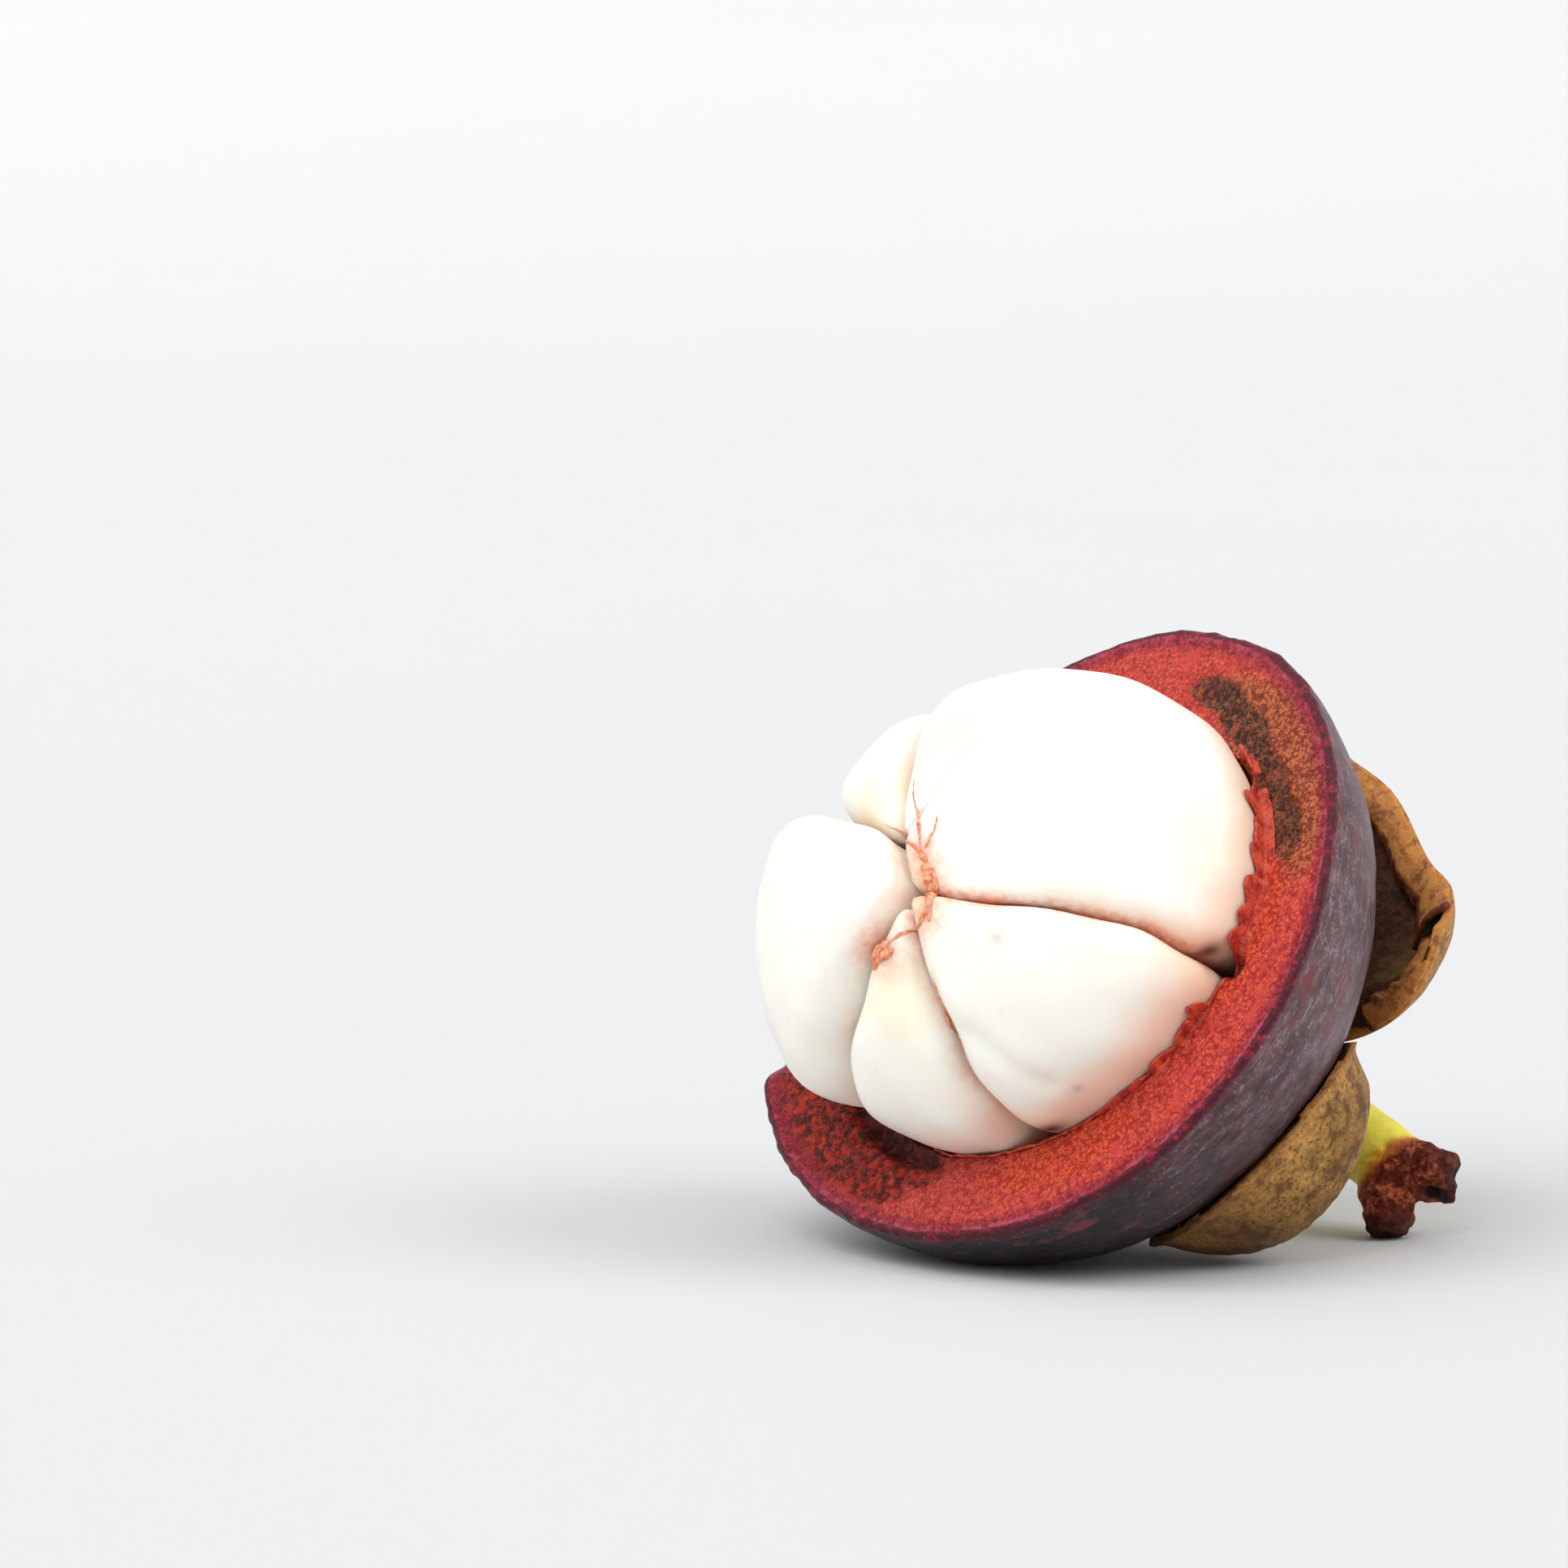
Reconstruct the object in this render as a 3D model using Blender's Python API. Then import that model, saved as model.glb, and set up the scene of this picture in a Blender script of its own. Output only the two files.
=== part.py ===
"""A mangosteen with the blossom half of its rind lifted away.

The stem half of the rind is a thick cup. It leans over on its side and rests on a small flat spot and on
the rims of two sepals. The white flesh sits in the cup as a ball of six separate segments. Four leathery
sepals and the snapped stem are still on the stem end.

Most of the fruit is described in its own upright frame, the fruit frame: its origin is the centre of the
cut, +Z points out of the open cup along the fruit's axis, and azimuths are counted about +Z. make_rind()
then leans it over, so that the centre of the flat spot comes to the world's origin.
"""

import math

import bmesh
import bpy
from mathutils import Matrix, Quaternion, Vector
from mathutils.geometry import interpolate_bezier

MM = 0.001
SHARP_ANGLE = math.radians(40)

# The finishes: colour and roughness.
FINISHES = {
    "rind": ((0.075, 0.045, 0.062), 0.5),
    "flesh": ((0.92, 0.86, 0.8), 0.35),
    "sepal": ((0.24, 0.16, 0.06), 0.6),
    "stem": ((0.42, 0.42, 0.06), 0.55),
}

# The rind, an oblate cup cut across at its equator. Its outline swells and shrinks a little around the
# axis: each lobe has the number of its crests, its height at the equator and the azimuth of a crest. The
# lobes push out what lies further than SKIN_MARGIN from the hollow's centre, in shares of the hollow.
RIND_RADIUS = 31.5 * MM
RIND_DEPTH = 24.4 * MM
RIM_ROUNDING = 0.7 * MM
WALL_CLEARANCE = 0.45 * MM
RIND_SEGMENTS = 56
SKIN_STEPS = 15
RIM_STEPS = 2
HOLLOW_STEPS = 11
SKIN_MARGIN = 1.02
RIND_LOBES = ((1, 0.94 * MM, 131.0), (2, 0.63 * MM, -17.0), (3, 0.86 * MM, 17.0))
FLAT_SPOT_DEPTH = 0.25 * MM

# The ball of flesh, an oblate spheroid that stands proud of the cut.
BALL_RADIUS = 23.3 * MM
BALL_HALF_HEIGHT = 18.6 * MM
BALL_RISE = 4.9 * MM
SEAM_GAP = 0.3 * MM
ARIL_CUTS = 8
SURFACE_STEPS = 30

# How the fruit leans: the tilt of its axis from vertical, that axis's compass heading, and its own spin.
FRUIT_LEAN = math.radians(55.46)
FRUIT_HEADING = math.radians(223.92)
FRUIT_SPIN = math.radians(157.8)

# The two points under the top of the ball where the seams meet, and the one at the foot of the ball.
KNOT_LOW = Vector((-4.8, -6.2, 18.3)) * MM
KNOT_HIGH = Vector((-2.0, -2.3, 19.8)) * MM
SEAM_FOOT = Vector((0.0, 0.0, -13.7)) * MM

# Seam name: azimuth where it crosses the ball's widest circle, the knot it runs to, how far it is rounded.
SEAMS = {
    "e_a": (-72.0, KNOT_LOW, 3.0 * MM),
    "a_f": (8.0, KNOT_HIGH, 1.5 * MM),
    "f_b": (60.0, KNOT_HIGH, 4.0 * MM),
    "b_c": (104.0, KNOT_HIGH, 5.0 * MM),
    "c_d": (186.0, KNOT_LOW, 5.0 * MM),
    "d_e": (229.0, KNOT_LOW, 4.0 * MM),
}

# Segment name: its seams on the low and high azimuth side; which side of the short seam between the two
# knots it lies on, 1 towards +X, -1 towards -X, 0 where it doesn't reach that seam; and how far it swells
# out of the ball.
ARILS = {
    "aril_a": ("e_a", "a_f", 1, -0.4 * MM),
    "aril_f": ("a_f", "f_b", 0, -0.9 * MM),
    "aril_b": ("f_b", "b_c", 0, -0.8 * MM),
    "aril_c": ("b_c", "c_d", -1, 2.2 * MM),
    "aril_d": ("c_d", "d_e", 0, 0.6 * MM),
    "aril_e": ("d_e", "e_a", 0, 0.3 * MM),
}
SWELL_START = 1.0 * MM
SWELL_RISE = 9.0 * MM
SHORT_SEAM_ROUNDING = 2.0 * MM
ARIL_CENTRE_OFFSET = 11.0 * MM

# The sepals: azimuth; half widths on the low-azimuth and the high-azimuth side; reach from the fruit's
# axis; how far they rise towards the rind at the equator's radius on the low-azimuth side, in the middle
# and on the high-azimuth side; and how far their lip curls towards the rind. At its base a sepal has
# SEPAL_WAIST of its full width, which it reaches after SEPAL_WAIST_LENGTH of its length.
SEPAL_THICKNESS = 1.4 * MM
SEPAL_BASE = 6.8 * MM
SEPAL_LEVEL = 25.6 * MM
SEPAL_CLEARANCE = 0.6 * MM
SEPAL_CELLS = 12
SEPAL_ROUNDNESS = 0.42
SEPAL_WAIST = 0.5
SEPAL_WAIST_LENGTH = 2 / 3
SEPALS = {
    "sepal_upper": (-13.0, (14.6 * MM, 19.5 * MM), 28.4 * MM, (3.5 * MM, -2.5 * MM, 4.0 * MM), 3.5 * MM),
    "sepal_lower": (-102.0, (13.6 * MM, 13.2 * MM), 28.4 * MM, (6.5 * MM, 1.0 * MM, 6.5 * MM), 10.0 * MM),
    "sepal_back_upper": (77.0, (13.0 * MM, 13.4 * MM), 27.0 * MM, (6.0 * MM, 4.0 * MM, 5.5 * MM), 4.0 * MM),
    "sepal_back_lower": (158.0, (12.6 * MM, 10.6 * MM), 25.6 * MM, (6.0 * MM, 6.6 * MM, 9.0 * MM), 3.0 * MM),
}

# The stem. It leaves the broad disc that carries the sepals along the fruit's axis and bends over. Each
# station of the disc has its depth below the disc's face and its radius. The bend is a Bezier curve: its
# last three points are counted from the fruit's centre along the world's axes.
DISC_GAP = 0.35 * MM
DISC_STATIONS = ((0.0, 6.3 * MM), (1.3 * MM, 6.3 * MM), (2.2 * MM, 4.9 * MM), (3.2 * MM, 3.8 * MM))
STEM_BEND = (
    Vector((20.8, 18.2, -16.9)) * MM,
    Vector((27.2, 14.8, -19.4)) * MM,
    Vector((32.2, 9.2, -23.6)) * MM,
)
STEM_RADIUS = 3.4 * MM
STEM_FLARE = 0.5 * MM
STEM_STATIONS = 8
STEM_SIDES = 18

# The two stubs of the stem's snapped end: their centres, counted in the same way, and their radii.
STUBS = {
    "stub_low": (Vector((30.5, 7.8, -26.1)) * MM, 2.8 * MM),
    "stub_high": (Vector((34.4, 8.8, -23.4)) * MM, 2.5 * MM),
}


def clear_scene():
    """Removes every object of the startup scene."""
    for item in list(bpy.data.objects):
        bpy.data.objects.remove(item, do_unlink=True)


def material(name):
    """A Principled material with one of the plain finishes."""
    color, roughness = FINISHES[name]
    made = bpy.data.materials.new(name)
    made.use_nodes = True
    shader = made.node_tree.nodes["Principled BSDF"]
    shader.inputs["Base Color"].default_value = (*color, 1.0)
    shader.inputs["Roughness"].default_value = roughness
    shader.inputs["Metallic"].default_value = 0.0
    return made


def fruit_turn():
    """The rotation that leans the upright fruit over."""
    heading = Matrix.Rotation(FRUIT_HEADING, 4, "Z")
    lean = Matrix.Rotation(FRUIT_LEAN, 4, "Y")
    spin = Matrix.Rotation(FRUIT_SPIN, 4, "Z")
    return heading @ lean @ spin


def add_node(name, mesh_data, finish):
    """Turns a bmesh in world coordinates into a named object."""
    mesh = bpy.data.meshes.new(name)
    mesh_data.to_mesh(mesh)
    mesh_data.free()
    mesh.materials.append(finish)
    mesh.shade_smooth()
    mesh.set_sharp_from_angle(angle=SHARP_ANGLE)
    node = bpy.data.objects.new(name, mesh)
    bpy.context.scene.collection.objects.link(node)
    return node


def ellipse_arc(radius, depth, centre_height, start, end, steps):
    """Points (x, 0, z) of an upright ellipse. Angles run from the bottom pole, in radians."""
    points = []
    for step in range(steps + 1):
        angle = start + (end - start) * step / steps
        points.append(Vector((radius * math.sin(angle), 0.0, centre_height - depth * math.cos(angle))))
    return points


def rind_profile():
    """The wall's section: up the skin, over the rounded edge, across the cut and down the hollow."""
    skin_end = math.pi / 2 - RIM_ROUNDING / RIND_DEPTH
    skin = ellipse_arc(RIND_RADIUS, RIND_DEPTH, 0.0, 0.0, skin_end, SKIN_STEPS)
    edge = []
    for step in range(1, RIM_STEPS + 1):
        angle = math.pi / 2 * step / RIM_STEPS
        inwards = RIM_ROUNDING * (1.0 - math.cos(angle))
        below = RIM_ROUNDING * (1.0 - math.sin(angle))
        edge.append(Vector((RIND_RADIUS - inwards, 0.0, -below)))
    hollow_radius = BALL_RADIUS + WALL_CLEARANCE
    hollow_depth = BALL_HALF_HEIGHT + WALL_CLEARANCE
    mouth = math.acos(BALL_RISE / hollow_depth)
    hollow = ellipse_arc(hollow_radius, hollow_depth, BALL_RISE, mouth, 0.0, HOLLOW_STEPS)
    return skin + edge + hollow


def swell_of_rind(azimuth):
    """How far the lobes push the skin out at the equator."""
    swell = 0.0
    for crests, height, crest in RIND_LOBES:
        swell += height * math.cos(crests * (azimuth - math.radians(crest)))
    return swell


def outside_hollow(radius, height):
    """Whether a point of the cup is off the hollow's surface, so on the skin or the rim's outer edge."""
    across = radius / (BALL_RADIUS + WALL_CLEARANCE)
    along = (height - BALL_RISE) / (BALL_HALF_HEIGHT + WALL_CLEARANCE)
    return math.hypot(across, along) > SKIN_MARGIN


def spin_profile(shape, profile):
    """Turns a section round the fruit's axis into a closed body."""
    corners = [shape.verts.new(point) for point in profile]
    edges = [shape.edges.new(pair) for pair in zip(corners, corners[1:])]
    bmesh.ops.spin(
        shape,
        geom=corners + edges,
        cent=(0.0, 0.0, 0.0),
        axis=(0.0, 0.0, 1.0),
        angle=math.tau,
        steps=RIND_SEGMENTS,
        use_merge=True,
    )
    bmesh.ops.remove_doubles(shape, verts=shape.verts, dist=0.01 * MM)


def make_rind(finish):
    """Spins the cup, leans it over and cuts its flat spot. Returns the fruit frame's place in the world."""
    shape = bmesh.new()
    spin_profile(shape, rind_profile())
    for corner in shape.verts:
        across = math.hypot(corner.co.x, corner.co.y)
        if outside_hollow(across, corner.co.z):
            push = swell_of_rind(math.atan2(corner.co.y, corner.co.x)) * (across / RIND_RADIUS) ** 3
            corner.co.xy *= 1.0 + push / max(across, MM)
    turn = fruit_turn()
    bmesh.ops.transform(shape, matrix=turn, verts=shape.verts)
    floor = min(corner.co.z for corner in shape.verts) + FLAT_SPOT_DEPTH
    everything = list(shape.verts) + list(shape.edges) + list(shape.faces)
    cut = bmesh.ops.bisect_plane(
        shape, geom=everything, plane_co=(0.0, 0.0, floor), plane_no=(0.0, 0.0, -1.0), clear_outer=True
    )
    rim = [item for item in cut["geom_cut"] if isinstance(item, bmesh.types.BMEdge)]
    spot = bmesh.ops.contextual_create(shape, geom=rim)["faces"][0]
    to_world = Matrix.Translation(-spot.calc_center_median_weighted()) @ turn
    bmesh.ops.translate(shape, vec=to_world.translation, verts=shape.verts)
    bmesh.ops.recalc_face_normals(shape, faces=shape.faces)
    add_node("rind_cup", shape, finish)
    return to_world


def smooth_max(first, second, rounding):
    """The larger of two distances, with the corner between them rounded off."""
    overlap = max(rounding - abs(first - second), 0.0) / rounding
    return max(first, second) + overlap * overlap * rounding / 4


def smooth_step(share):
    """Eases from 0 to 1 as the share goes from 0 to 1."""
    share = min(max(share, 0.0), 1.0)
    return share * share * (3.0 - 2.0 * share)


def seam_normal(name):
    """The unit normal of a seam's plane, pointing to its high-azimuth side."""
    azimuth, knot, _ = SEAMS[name]
    angle = math.radians(azimuth)
    outer = Vector((BALL_RADIUS * math.cos(angle), BALL_RADIUS * math.sin(angle), BALL_RISE))
    return (knot - SEAM_FOOT).cross(outer - SEAM_FOOT).normalized()


def short_seam_normal():
    """The unit normal of the plane between the two knots, pointing towards +X."""
    normal = (KNOT_HIGH - SEAM_FOOT).cross(KNOT_LOW - SEAM_FOOT).normalized()
    return normal if normal.x > 0 else -normal


def aril_distance(point, segment):
    """Below zero inside a segment of the ball: inside the spheroid and between its seams."""
    low, high, side, swell = ARILS[segment]
    from_foot = point - SEAM_FOOT
    across = math.hypot(point.x, point.y) / BALL_RADIUS
    along = (point.z - BALL_RISE) / BALL_HALF_HEIGHT
    distance = (math.hypot(across, along) - 1.0) * math.sqrt(BALL_RADIUS * BALL_HALF_HEIGHT)
    distance -= swell * smooth_step((point.z - SWELL_START) / SWELL_RISE)
    beyond_low = SEAM_GAP / 2 - seam_normal(low).dot(from_foot)
    beyond_high = SEAM_GAP / 2 + seam_normal(high).dot(from_foot)
    distance = smooth_max(distance, beyond_low, SEAMS[low][2])
    distance = smooth_max(distance, beyond_high, SEAMS[high][2])
    if side:
        beyond_short = SEAM_GAP / 2 - side * short_seam_normal().dot(from_foot)
        distance = smooth_max(distance, beyond_short, SHORT_SEAM_ROUNDING)
    return distance


def aril_centre(segment):
    """A point well inside a segment, half way between its seams."""
    low, high, _, _ = ARILS[segment]
    start = math.radians(SEAMS[low][0])
    sweep = math.radians((SEAMS[high][0] - SEAMS[low][0]) % 360)
    middle = start + sweep / 2
    share = (BALL_RISE - SEAM_FOOT.z) / (KNOT_LOW.z - SEAM_FOOT.z)
    hub = SEAM_FOOT.lerp((KNOT_LOW + KNOT_HIGH) / 2, share)
    return hub + ARIL_CENTRE_OFFSET * Vector((math.cos(middle), math.sin(middle), 0.0))


def reach_of_surface(centre, direction, segment):
    """How far the segment's surface lies from its centre in a direction."""
    near, far = 0.0, 2 * BALL_RADIUS
    for _ in range(SURFACE_STEPS):
        middle = (near + far) / 2
        if aril_distance(centre + middle * direction, segment) < 0:
            near = middle
        else:
            far = middle
    return near


def make_aril(segment, to_world, finish):
    """Shapes a gridded ball into one segment of flesh."""
    shape = bmesh.new()
    bmesh.ops.create_cube(shape, size=2.0)
    bmesh.ops.subdivide_edges(shape, edges=shape.edges, cuts=ARIL_CUTS - 1, use_grid_fill=True)
    centre = aril_centre(segment)
    for corner in shape.verts:
        direction = corner.co.normalized()
        corner.co = centre + reach_of_surface(centre, direction, segment) * direction
    bmesh.ops.triangulate(shape, faces=shape.faces, quad_method="SHORT_EDGE")
    bmesh.ops.transform(shape, matrix=to_world, verts=shape.verts)
    bmesh.ops.recalc_face_normals(shape, faces=shape.faces)
    add_node(segment, shape, finish)


def height_clear_of_skin(azimuth, radius):
    """The greatest height of a sepal's outer face that keeps its inner face clear of the skin above it."""
    standoff = SEPAL_THICKNESS + SEPAL_CLEARANCE
    widest = RIND_RADIUS + swell_of_rind(azimuth) * (radius / RIND_RADIUS) ** 2 + standoff
    share = max(1.0 - (radius / widest) ** 2, 0.0)
    return -(RIND_DEPTH + standoff) * math.sqrt(share)


def sepal_point(sepal, u, v):
    """A sepal's outer face. u runs across it and v from its base to its rim, both from -1 to 1."""
    azimuth, half_widths, reach, (low, middle, high), curl = SEPALS[sepal]
    half_width = half_widths[0] if u < 0 else half_widths[1]
    disc_u = u * math.sqrt(1.0 - SEPAL_ROUNDNESS * v * v)
    disc_v = v * math.sqrt(1.0 - SEPAL_ROUNDNESS * u * u)
    share = (disc_v + 1.0) / 2
    widening = math.sin(math.pi / 2 * min(1.0, share / SEPAL_WAIST_LENGTH))
    waist = SEPAL_WAIST + (1.0 - SEPAL_WAIST) * widening
    along = SEPAL_BASE + (reach - SEPAL_BASE) * share
    across = half_width * disc_u * waist
    lift = middle + (high - low) / 2 * disc_u + ((high + low) / 2 - middle) * disc_u * disc_u
    radius = math.hypot(along, across)
    lip = curl * share * (disc_u * disc_u + disc_v * disc_v) ** 3
    height = lift * (radius / RIND_RADIUS) ** 2 + lip - SEPAL_LEVEL
    turned = math.radians(azimuth) + math.atan2(across, along)
    height = min(height, height_clear_of_skin(turned, radius))
    return Vector((radius * math.cos(turned), radius * math.sin(turned), height))


def make_sepal(sepal, to_world, finish):
    """Bends a square grid into a cupped sepal and gives it its thickness."""
    shape = bmesh.new()
    bmesh.ops.create_grid(shape, x_segments=SEPAL_CELLS, y_segments=SEPAL_CELLS, size=1.0)
    for corner in shape.verts:
        corner.co = sepal_point(sepal, corner.co.x, corner.co.y)
    bmesh.ops.transform(shape, matrix=to_world, verts=shape.verts)
    shape.normal_update()
    whole = list(shape.verts) + list(shape.edges) + list(shape.faces)
    bmesh.ops.solidify(shape, geom=whole, thickness=SEPAL_THICKNESS)
    for corner in shape.verts:
        corner.co.z = max(corner.co.z, 0.0)
    bmesh.ops.recalc_face_normals(shape, faces=shape.faces)
    add_node(sepal, shape, finish)


def stem_stations(to_world):
    """(point, radius) along the stem's middle line, from the disc under the fruit to the snapped end."""
    stations = []
    for depth, radius in DISC_STATIONS:
        height = -(RIND_DEPTH + DISC_GAP + depth)
        stations.append((to_world @ Vector((0.0, 0.0, height)), radius))
    start = stations.pop()[0]
    bend = [to_world.translation + point for point in STEM_BEND]
    for point in interpolate_bezier(start, *bend, STEM_STATIONS):
        share = (point - start).length / (bend[-1] - start).length
        stations.append((point, STEM_RADIUS + STEM_FLARE * (1.0 - share) ** 3))
    return stations


def make_stem(to_world, finish):
    """Sweeps a ring down the bent stem, then joins the two stubs of its snapped end to it."""
    stations = stem_stations(to_world)
    shape = bmesh.new()
    rings = []
    heading = Vector((0.0, 0.0, 1.0))
    turn = Quaternion()
    for index, (point, radius) in enumerate(stations):
        before = stations[max(index - 1, 0)][0]
        after = stations[min(index + 1, len(stations) - 1)][0]
        turn = heading.rotation_difference(after - before) @ turn
        heading = after - before
        ring = bmesh.ops.create_circle(
            shape,
            cap_ends=index in (0, len(stations) - 1),
            segments=STEM_SIDES,
            radius=radius,
            matrix=Matrix.Translation(point) @ turn.to_matrix().to_4x4(),
        )
        rings.append(ring["verts"])
    for upper, lower in zip(rings, rings[1:]):
        for side in range(STEM_SIDES):
            after = (side + 1) % STEM_SIDES
            shape.faces.new((upper[side], upper[after], lower[after], lower[side]))
    bmesh.ops.recalc_face_normals(shape, faces=shape.faces)
    stem = add_node("stem", shape, finish)
    for name, (offset, radius) in STUBS.items():
        ball = bmesh.new()
        centre = Matrix.Translation(to_world.translation + offset)
        bmesh.ops.create_icosphere(ball, subdivisions=2, radius=radius, matrix=centre)
        stub = add_node(name, ball, finish)
        stub.hide_render = True
        stub.display_type = "WIRE"
        join = stem.modifiers.new(name, "BOOLEAN")
        join.operation = "UNION"
        join.object = stub


def main():
    """Builds the whole fruit."""
    clear_scene()
    finishes = {name: material(name) for name in FINISHES}
    to_world = make_rind(finishes["rind"])
    for segment in ARILS:
        make_aril(segment, to_world, finishes["flesh"])
    for sepal in SEPALS:
        make_sepal(sepal, to_world, finishes["sepal"])
    make_stem(to_world, finishes["stem"])


main()
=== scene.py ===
"""Dresses the open mangosteen: its waxy rind, the white segments, their fibres, the sepals and the stem.

Shapes are worked out in the fruit frame: its origin is the centre of the cut, +Z points out of the open cup
along the fruit's axis, and azimuths are counted about +Z. TO_WORLD leans that frame over.
"""

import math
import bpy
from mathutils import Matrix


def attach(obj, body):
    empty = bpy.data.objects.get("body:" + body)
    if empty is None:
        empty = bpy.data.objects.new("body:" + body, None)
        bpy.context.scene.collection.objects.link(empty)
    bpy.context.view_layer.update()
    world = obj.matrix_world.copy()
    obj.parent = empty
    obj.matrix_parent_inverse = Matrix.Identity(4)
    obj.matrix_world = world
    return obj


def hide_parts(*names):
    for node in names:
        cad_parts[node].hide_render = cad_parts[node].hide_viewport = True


bl_info = {
    "name": "Open Mangosteen",
    "version": (1, 0, 0),
    "blender": (4, 5, 0),
    "location": "3D View > Sidebar > Mangosteen",
    "description": "Builds an open mangosteen around its packed solids",
    "category": "Object",
}

import bmesh
import bpy
import numpy as np
from bpy.props import FloatProperty, FloatVectorProperty, PointerProperty
from mathutils import Matrix, Quaternion, Vector, noise
from mathutils.geometry import interpolate_bezier

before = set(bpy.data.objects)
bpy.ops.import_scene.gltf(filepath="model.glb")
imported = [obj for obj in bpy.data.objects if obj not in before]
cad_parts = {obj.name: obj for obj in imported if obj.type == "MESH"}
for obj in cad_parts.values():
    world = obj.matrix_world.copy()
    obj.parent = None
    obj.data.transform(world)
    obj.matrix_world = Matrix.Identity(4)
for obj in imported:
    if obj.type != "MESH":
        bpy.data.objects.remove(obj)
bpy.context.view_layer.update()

MM = 0.001

# The fruit frame's place: its origin, the tilt of its axis, that axis's compass heading and its own spin.
FRUIT_CENTRE = Vector((5.0045, 3.1873, 28.9213)) * MM
FRUIT_LEAN = math.radians(55.46)
FRUIT_HEADING = math.radians(223.92)
FRUIT_SPIN = math.radians(157.8)
FRUIT_TURN = (
    Matrix.Rotation(FRUIT_HEADING, 4, "Z") @ Matrix.Rotation(FRUIT_LEAN, 4, "Y") @ Matrix.Rotation(FRUIT_SPIN, 4, "Z")
)
TO_WORLD = Matrix.Translation(FRUIT_CENTRE) @ FRUIT_TURN
TO_FRUIT = TO_WORLD.inverted()

# Lobes of the rind's outline: number of crests, height at the equator, azimuth of a crest.
RIND_LOBES = ((1, 0.94 * MM, 131.0), (2, 0.63 * MM, -17.0), (3, 0.86 * MM, 17.0))

# The seams of the flesh: azimuth at the ball's widest circle, the knot each runs to, how far it is rounded and
# how strongly it is tinted.
KNOT_LOW = np.array((-4.8, -6.2, 18.3)) * MM
KNOT_HIGH = np.array((-2.0, -2.3, 19.8)) * MM
SEAM_FOOT = np.array((0.0, 0.0, -13.7)) * MM
SEAMS = {
    "e_a": (-72.0, KNOT_LOW, 3.0 * MM, 0.9),
    "a_f": (8.0, KNOT_HIGH, 0.15 * MM, 0.0),
    "f_b": (60.0, KNOT_HIGH, 4.0 * MM, 0.25),
    "b_c": (104.0, KNOT_HIGH, 5.0 * MM, 0.3),
    "c_d": (184.5, KNOT_LOW, 5.0 * MM, 0.12),
    "d_e": (227.0, KNOT_LOW, 4.0 * MM, 0.35),
}

# Two segments have grown together along this seam.
GROWN_SEAM = "a_f"

# Each segment: low and high seam, its side of the short seam between the knots, how far it swells.
SEGMENTS = {
    "a": ("e_a", "a_f", 1, -0.4 * MM),
    "f": ("a_f", "f_b", 0, -0.9 * MM),
    "b": ("f_b", "b_c", 0, -0.8 * MM),
    "c": ("b_c", "c_d", -1, 2.2 * MM),
    "d": ("c_d", "d_e", 0, 0.6 * MM),
    "e": ("d_e", "e_a", 0, 0.3 * MM),
}

# The sepals: azimuth, half widths on the low and high side, reach, lifts on the low side, in the middle and
# on the high side, and curl of the lip.
SEPALS = {
    "upper": (-13.0, (14.6, 23.5), 28.4, (3.5, -2.5, 4.0), 3.5),
    "lower": (-102.0, (12.4, 14.4), 28.4, (6.5, 1.0, 5.0), 10.0),
    "back_upper": (77.0, (13.0, 13.4), 27.0, (6.0, 4.0, 5.5), 4.0),
    "back_lower": (158.0, (12.6, 10.6), 25.6, (6.0, 6.6, 9.0), 3.0),
}


def length_setting(name, description, millimetres):
    """A size that a user may change."""
    return FloatProperty(name=name, description=description, default=millimetres * MM, unit="LENGTH")


def color_setting(name, description, levels):
    """A colour that a user may change, as linear red, green and blue."""
    return FloatVectorProperty(name=name, description=description, default=levels, subtype="COLOR")


class RindSettings(bpy.types.PropertyGroup):
    """Sizes and colours of the rind."""

    radius: length_setting("Radius", "Radius at the cut", 31.5)
    depth: length_setting("Depth", "Depth from the cut to the stem end", 24.4)
    clearance: length_setting("Clearance", "Gap between the wall and the flesh", 0.45)
    skin: color_setting("Skin", "Dark purple of the skin", (0.048, 0.018, 0.022))
    bloom: color_setting("Bloom", "Grey wax on the skin", (0.205, 0.128, 0.138))
    flesh: color_setting("Cut", "Salmon red of the cut wall", (0.44, 0.034, 0.030))
    crimson: color_setting("Crimson", "Pinkish red under the skin", (0.18, 0.006, 0.020))
    bruise: color_setting("Bruise", "Bruised, grey-olive part of the cut", (0.082, 0.034, 0.017))


class FleshSettings(bpy.types.PropertyGroup):
    """Sizes and colours of the flesh."""

    radius: length_setting("Radius", "Radius of the ball", 23.3)
    half_height: length_setting("Half height", "Half the height of the ball", 18.6)
    rise: length_setting("Rise", "Height of the ball's centre over the cut", 4.9)
    seam_gap: length_setting("Seam gap", "Gap between two segments", 0.3)
    white: color_setting("White", "White of the segments", (0.94, 0.905, 0.835))
    blush: color_setting("Blush", "Peach tint along seams and rind", (0.98, 0.62, 0.42))
    fibre: color_setting("Fibre", "Orange-red of the fibres", (0.68, 0.17, 0.08))


class SepalSettings(bpy.types.PropertyGroup):
    """Sizes and colours of the sepals."""

    thickness: length_setting("Thickness", "Thickness of a sepal", 1.4)
    base: length_setting("Base", "Distance of a sepal's base from the axis", 6.8)
    level: length_setting("Level", "Depth of the sepals below the cut", 25.6)
    clearance: length_setting("Clearance", "Gap between sepal and skin", 0.6)
    tan: color_setting("Tan", "Olive tan of the outside", (0.40, 0.205, 0.052))
    brown: color_setting("Brown", "Dark mottling", (0.080, 0.026, 0.008))
    edge: color_setting("Edge", "Dry orange tan of the lips", (0.52, 0.205, 0.048))


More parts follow.
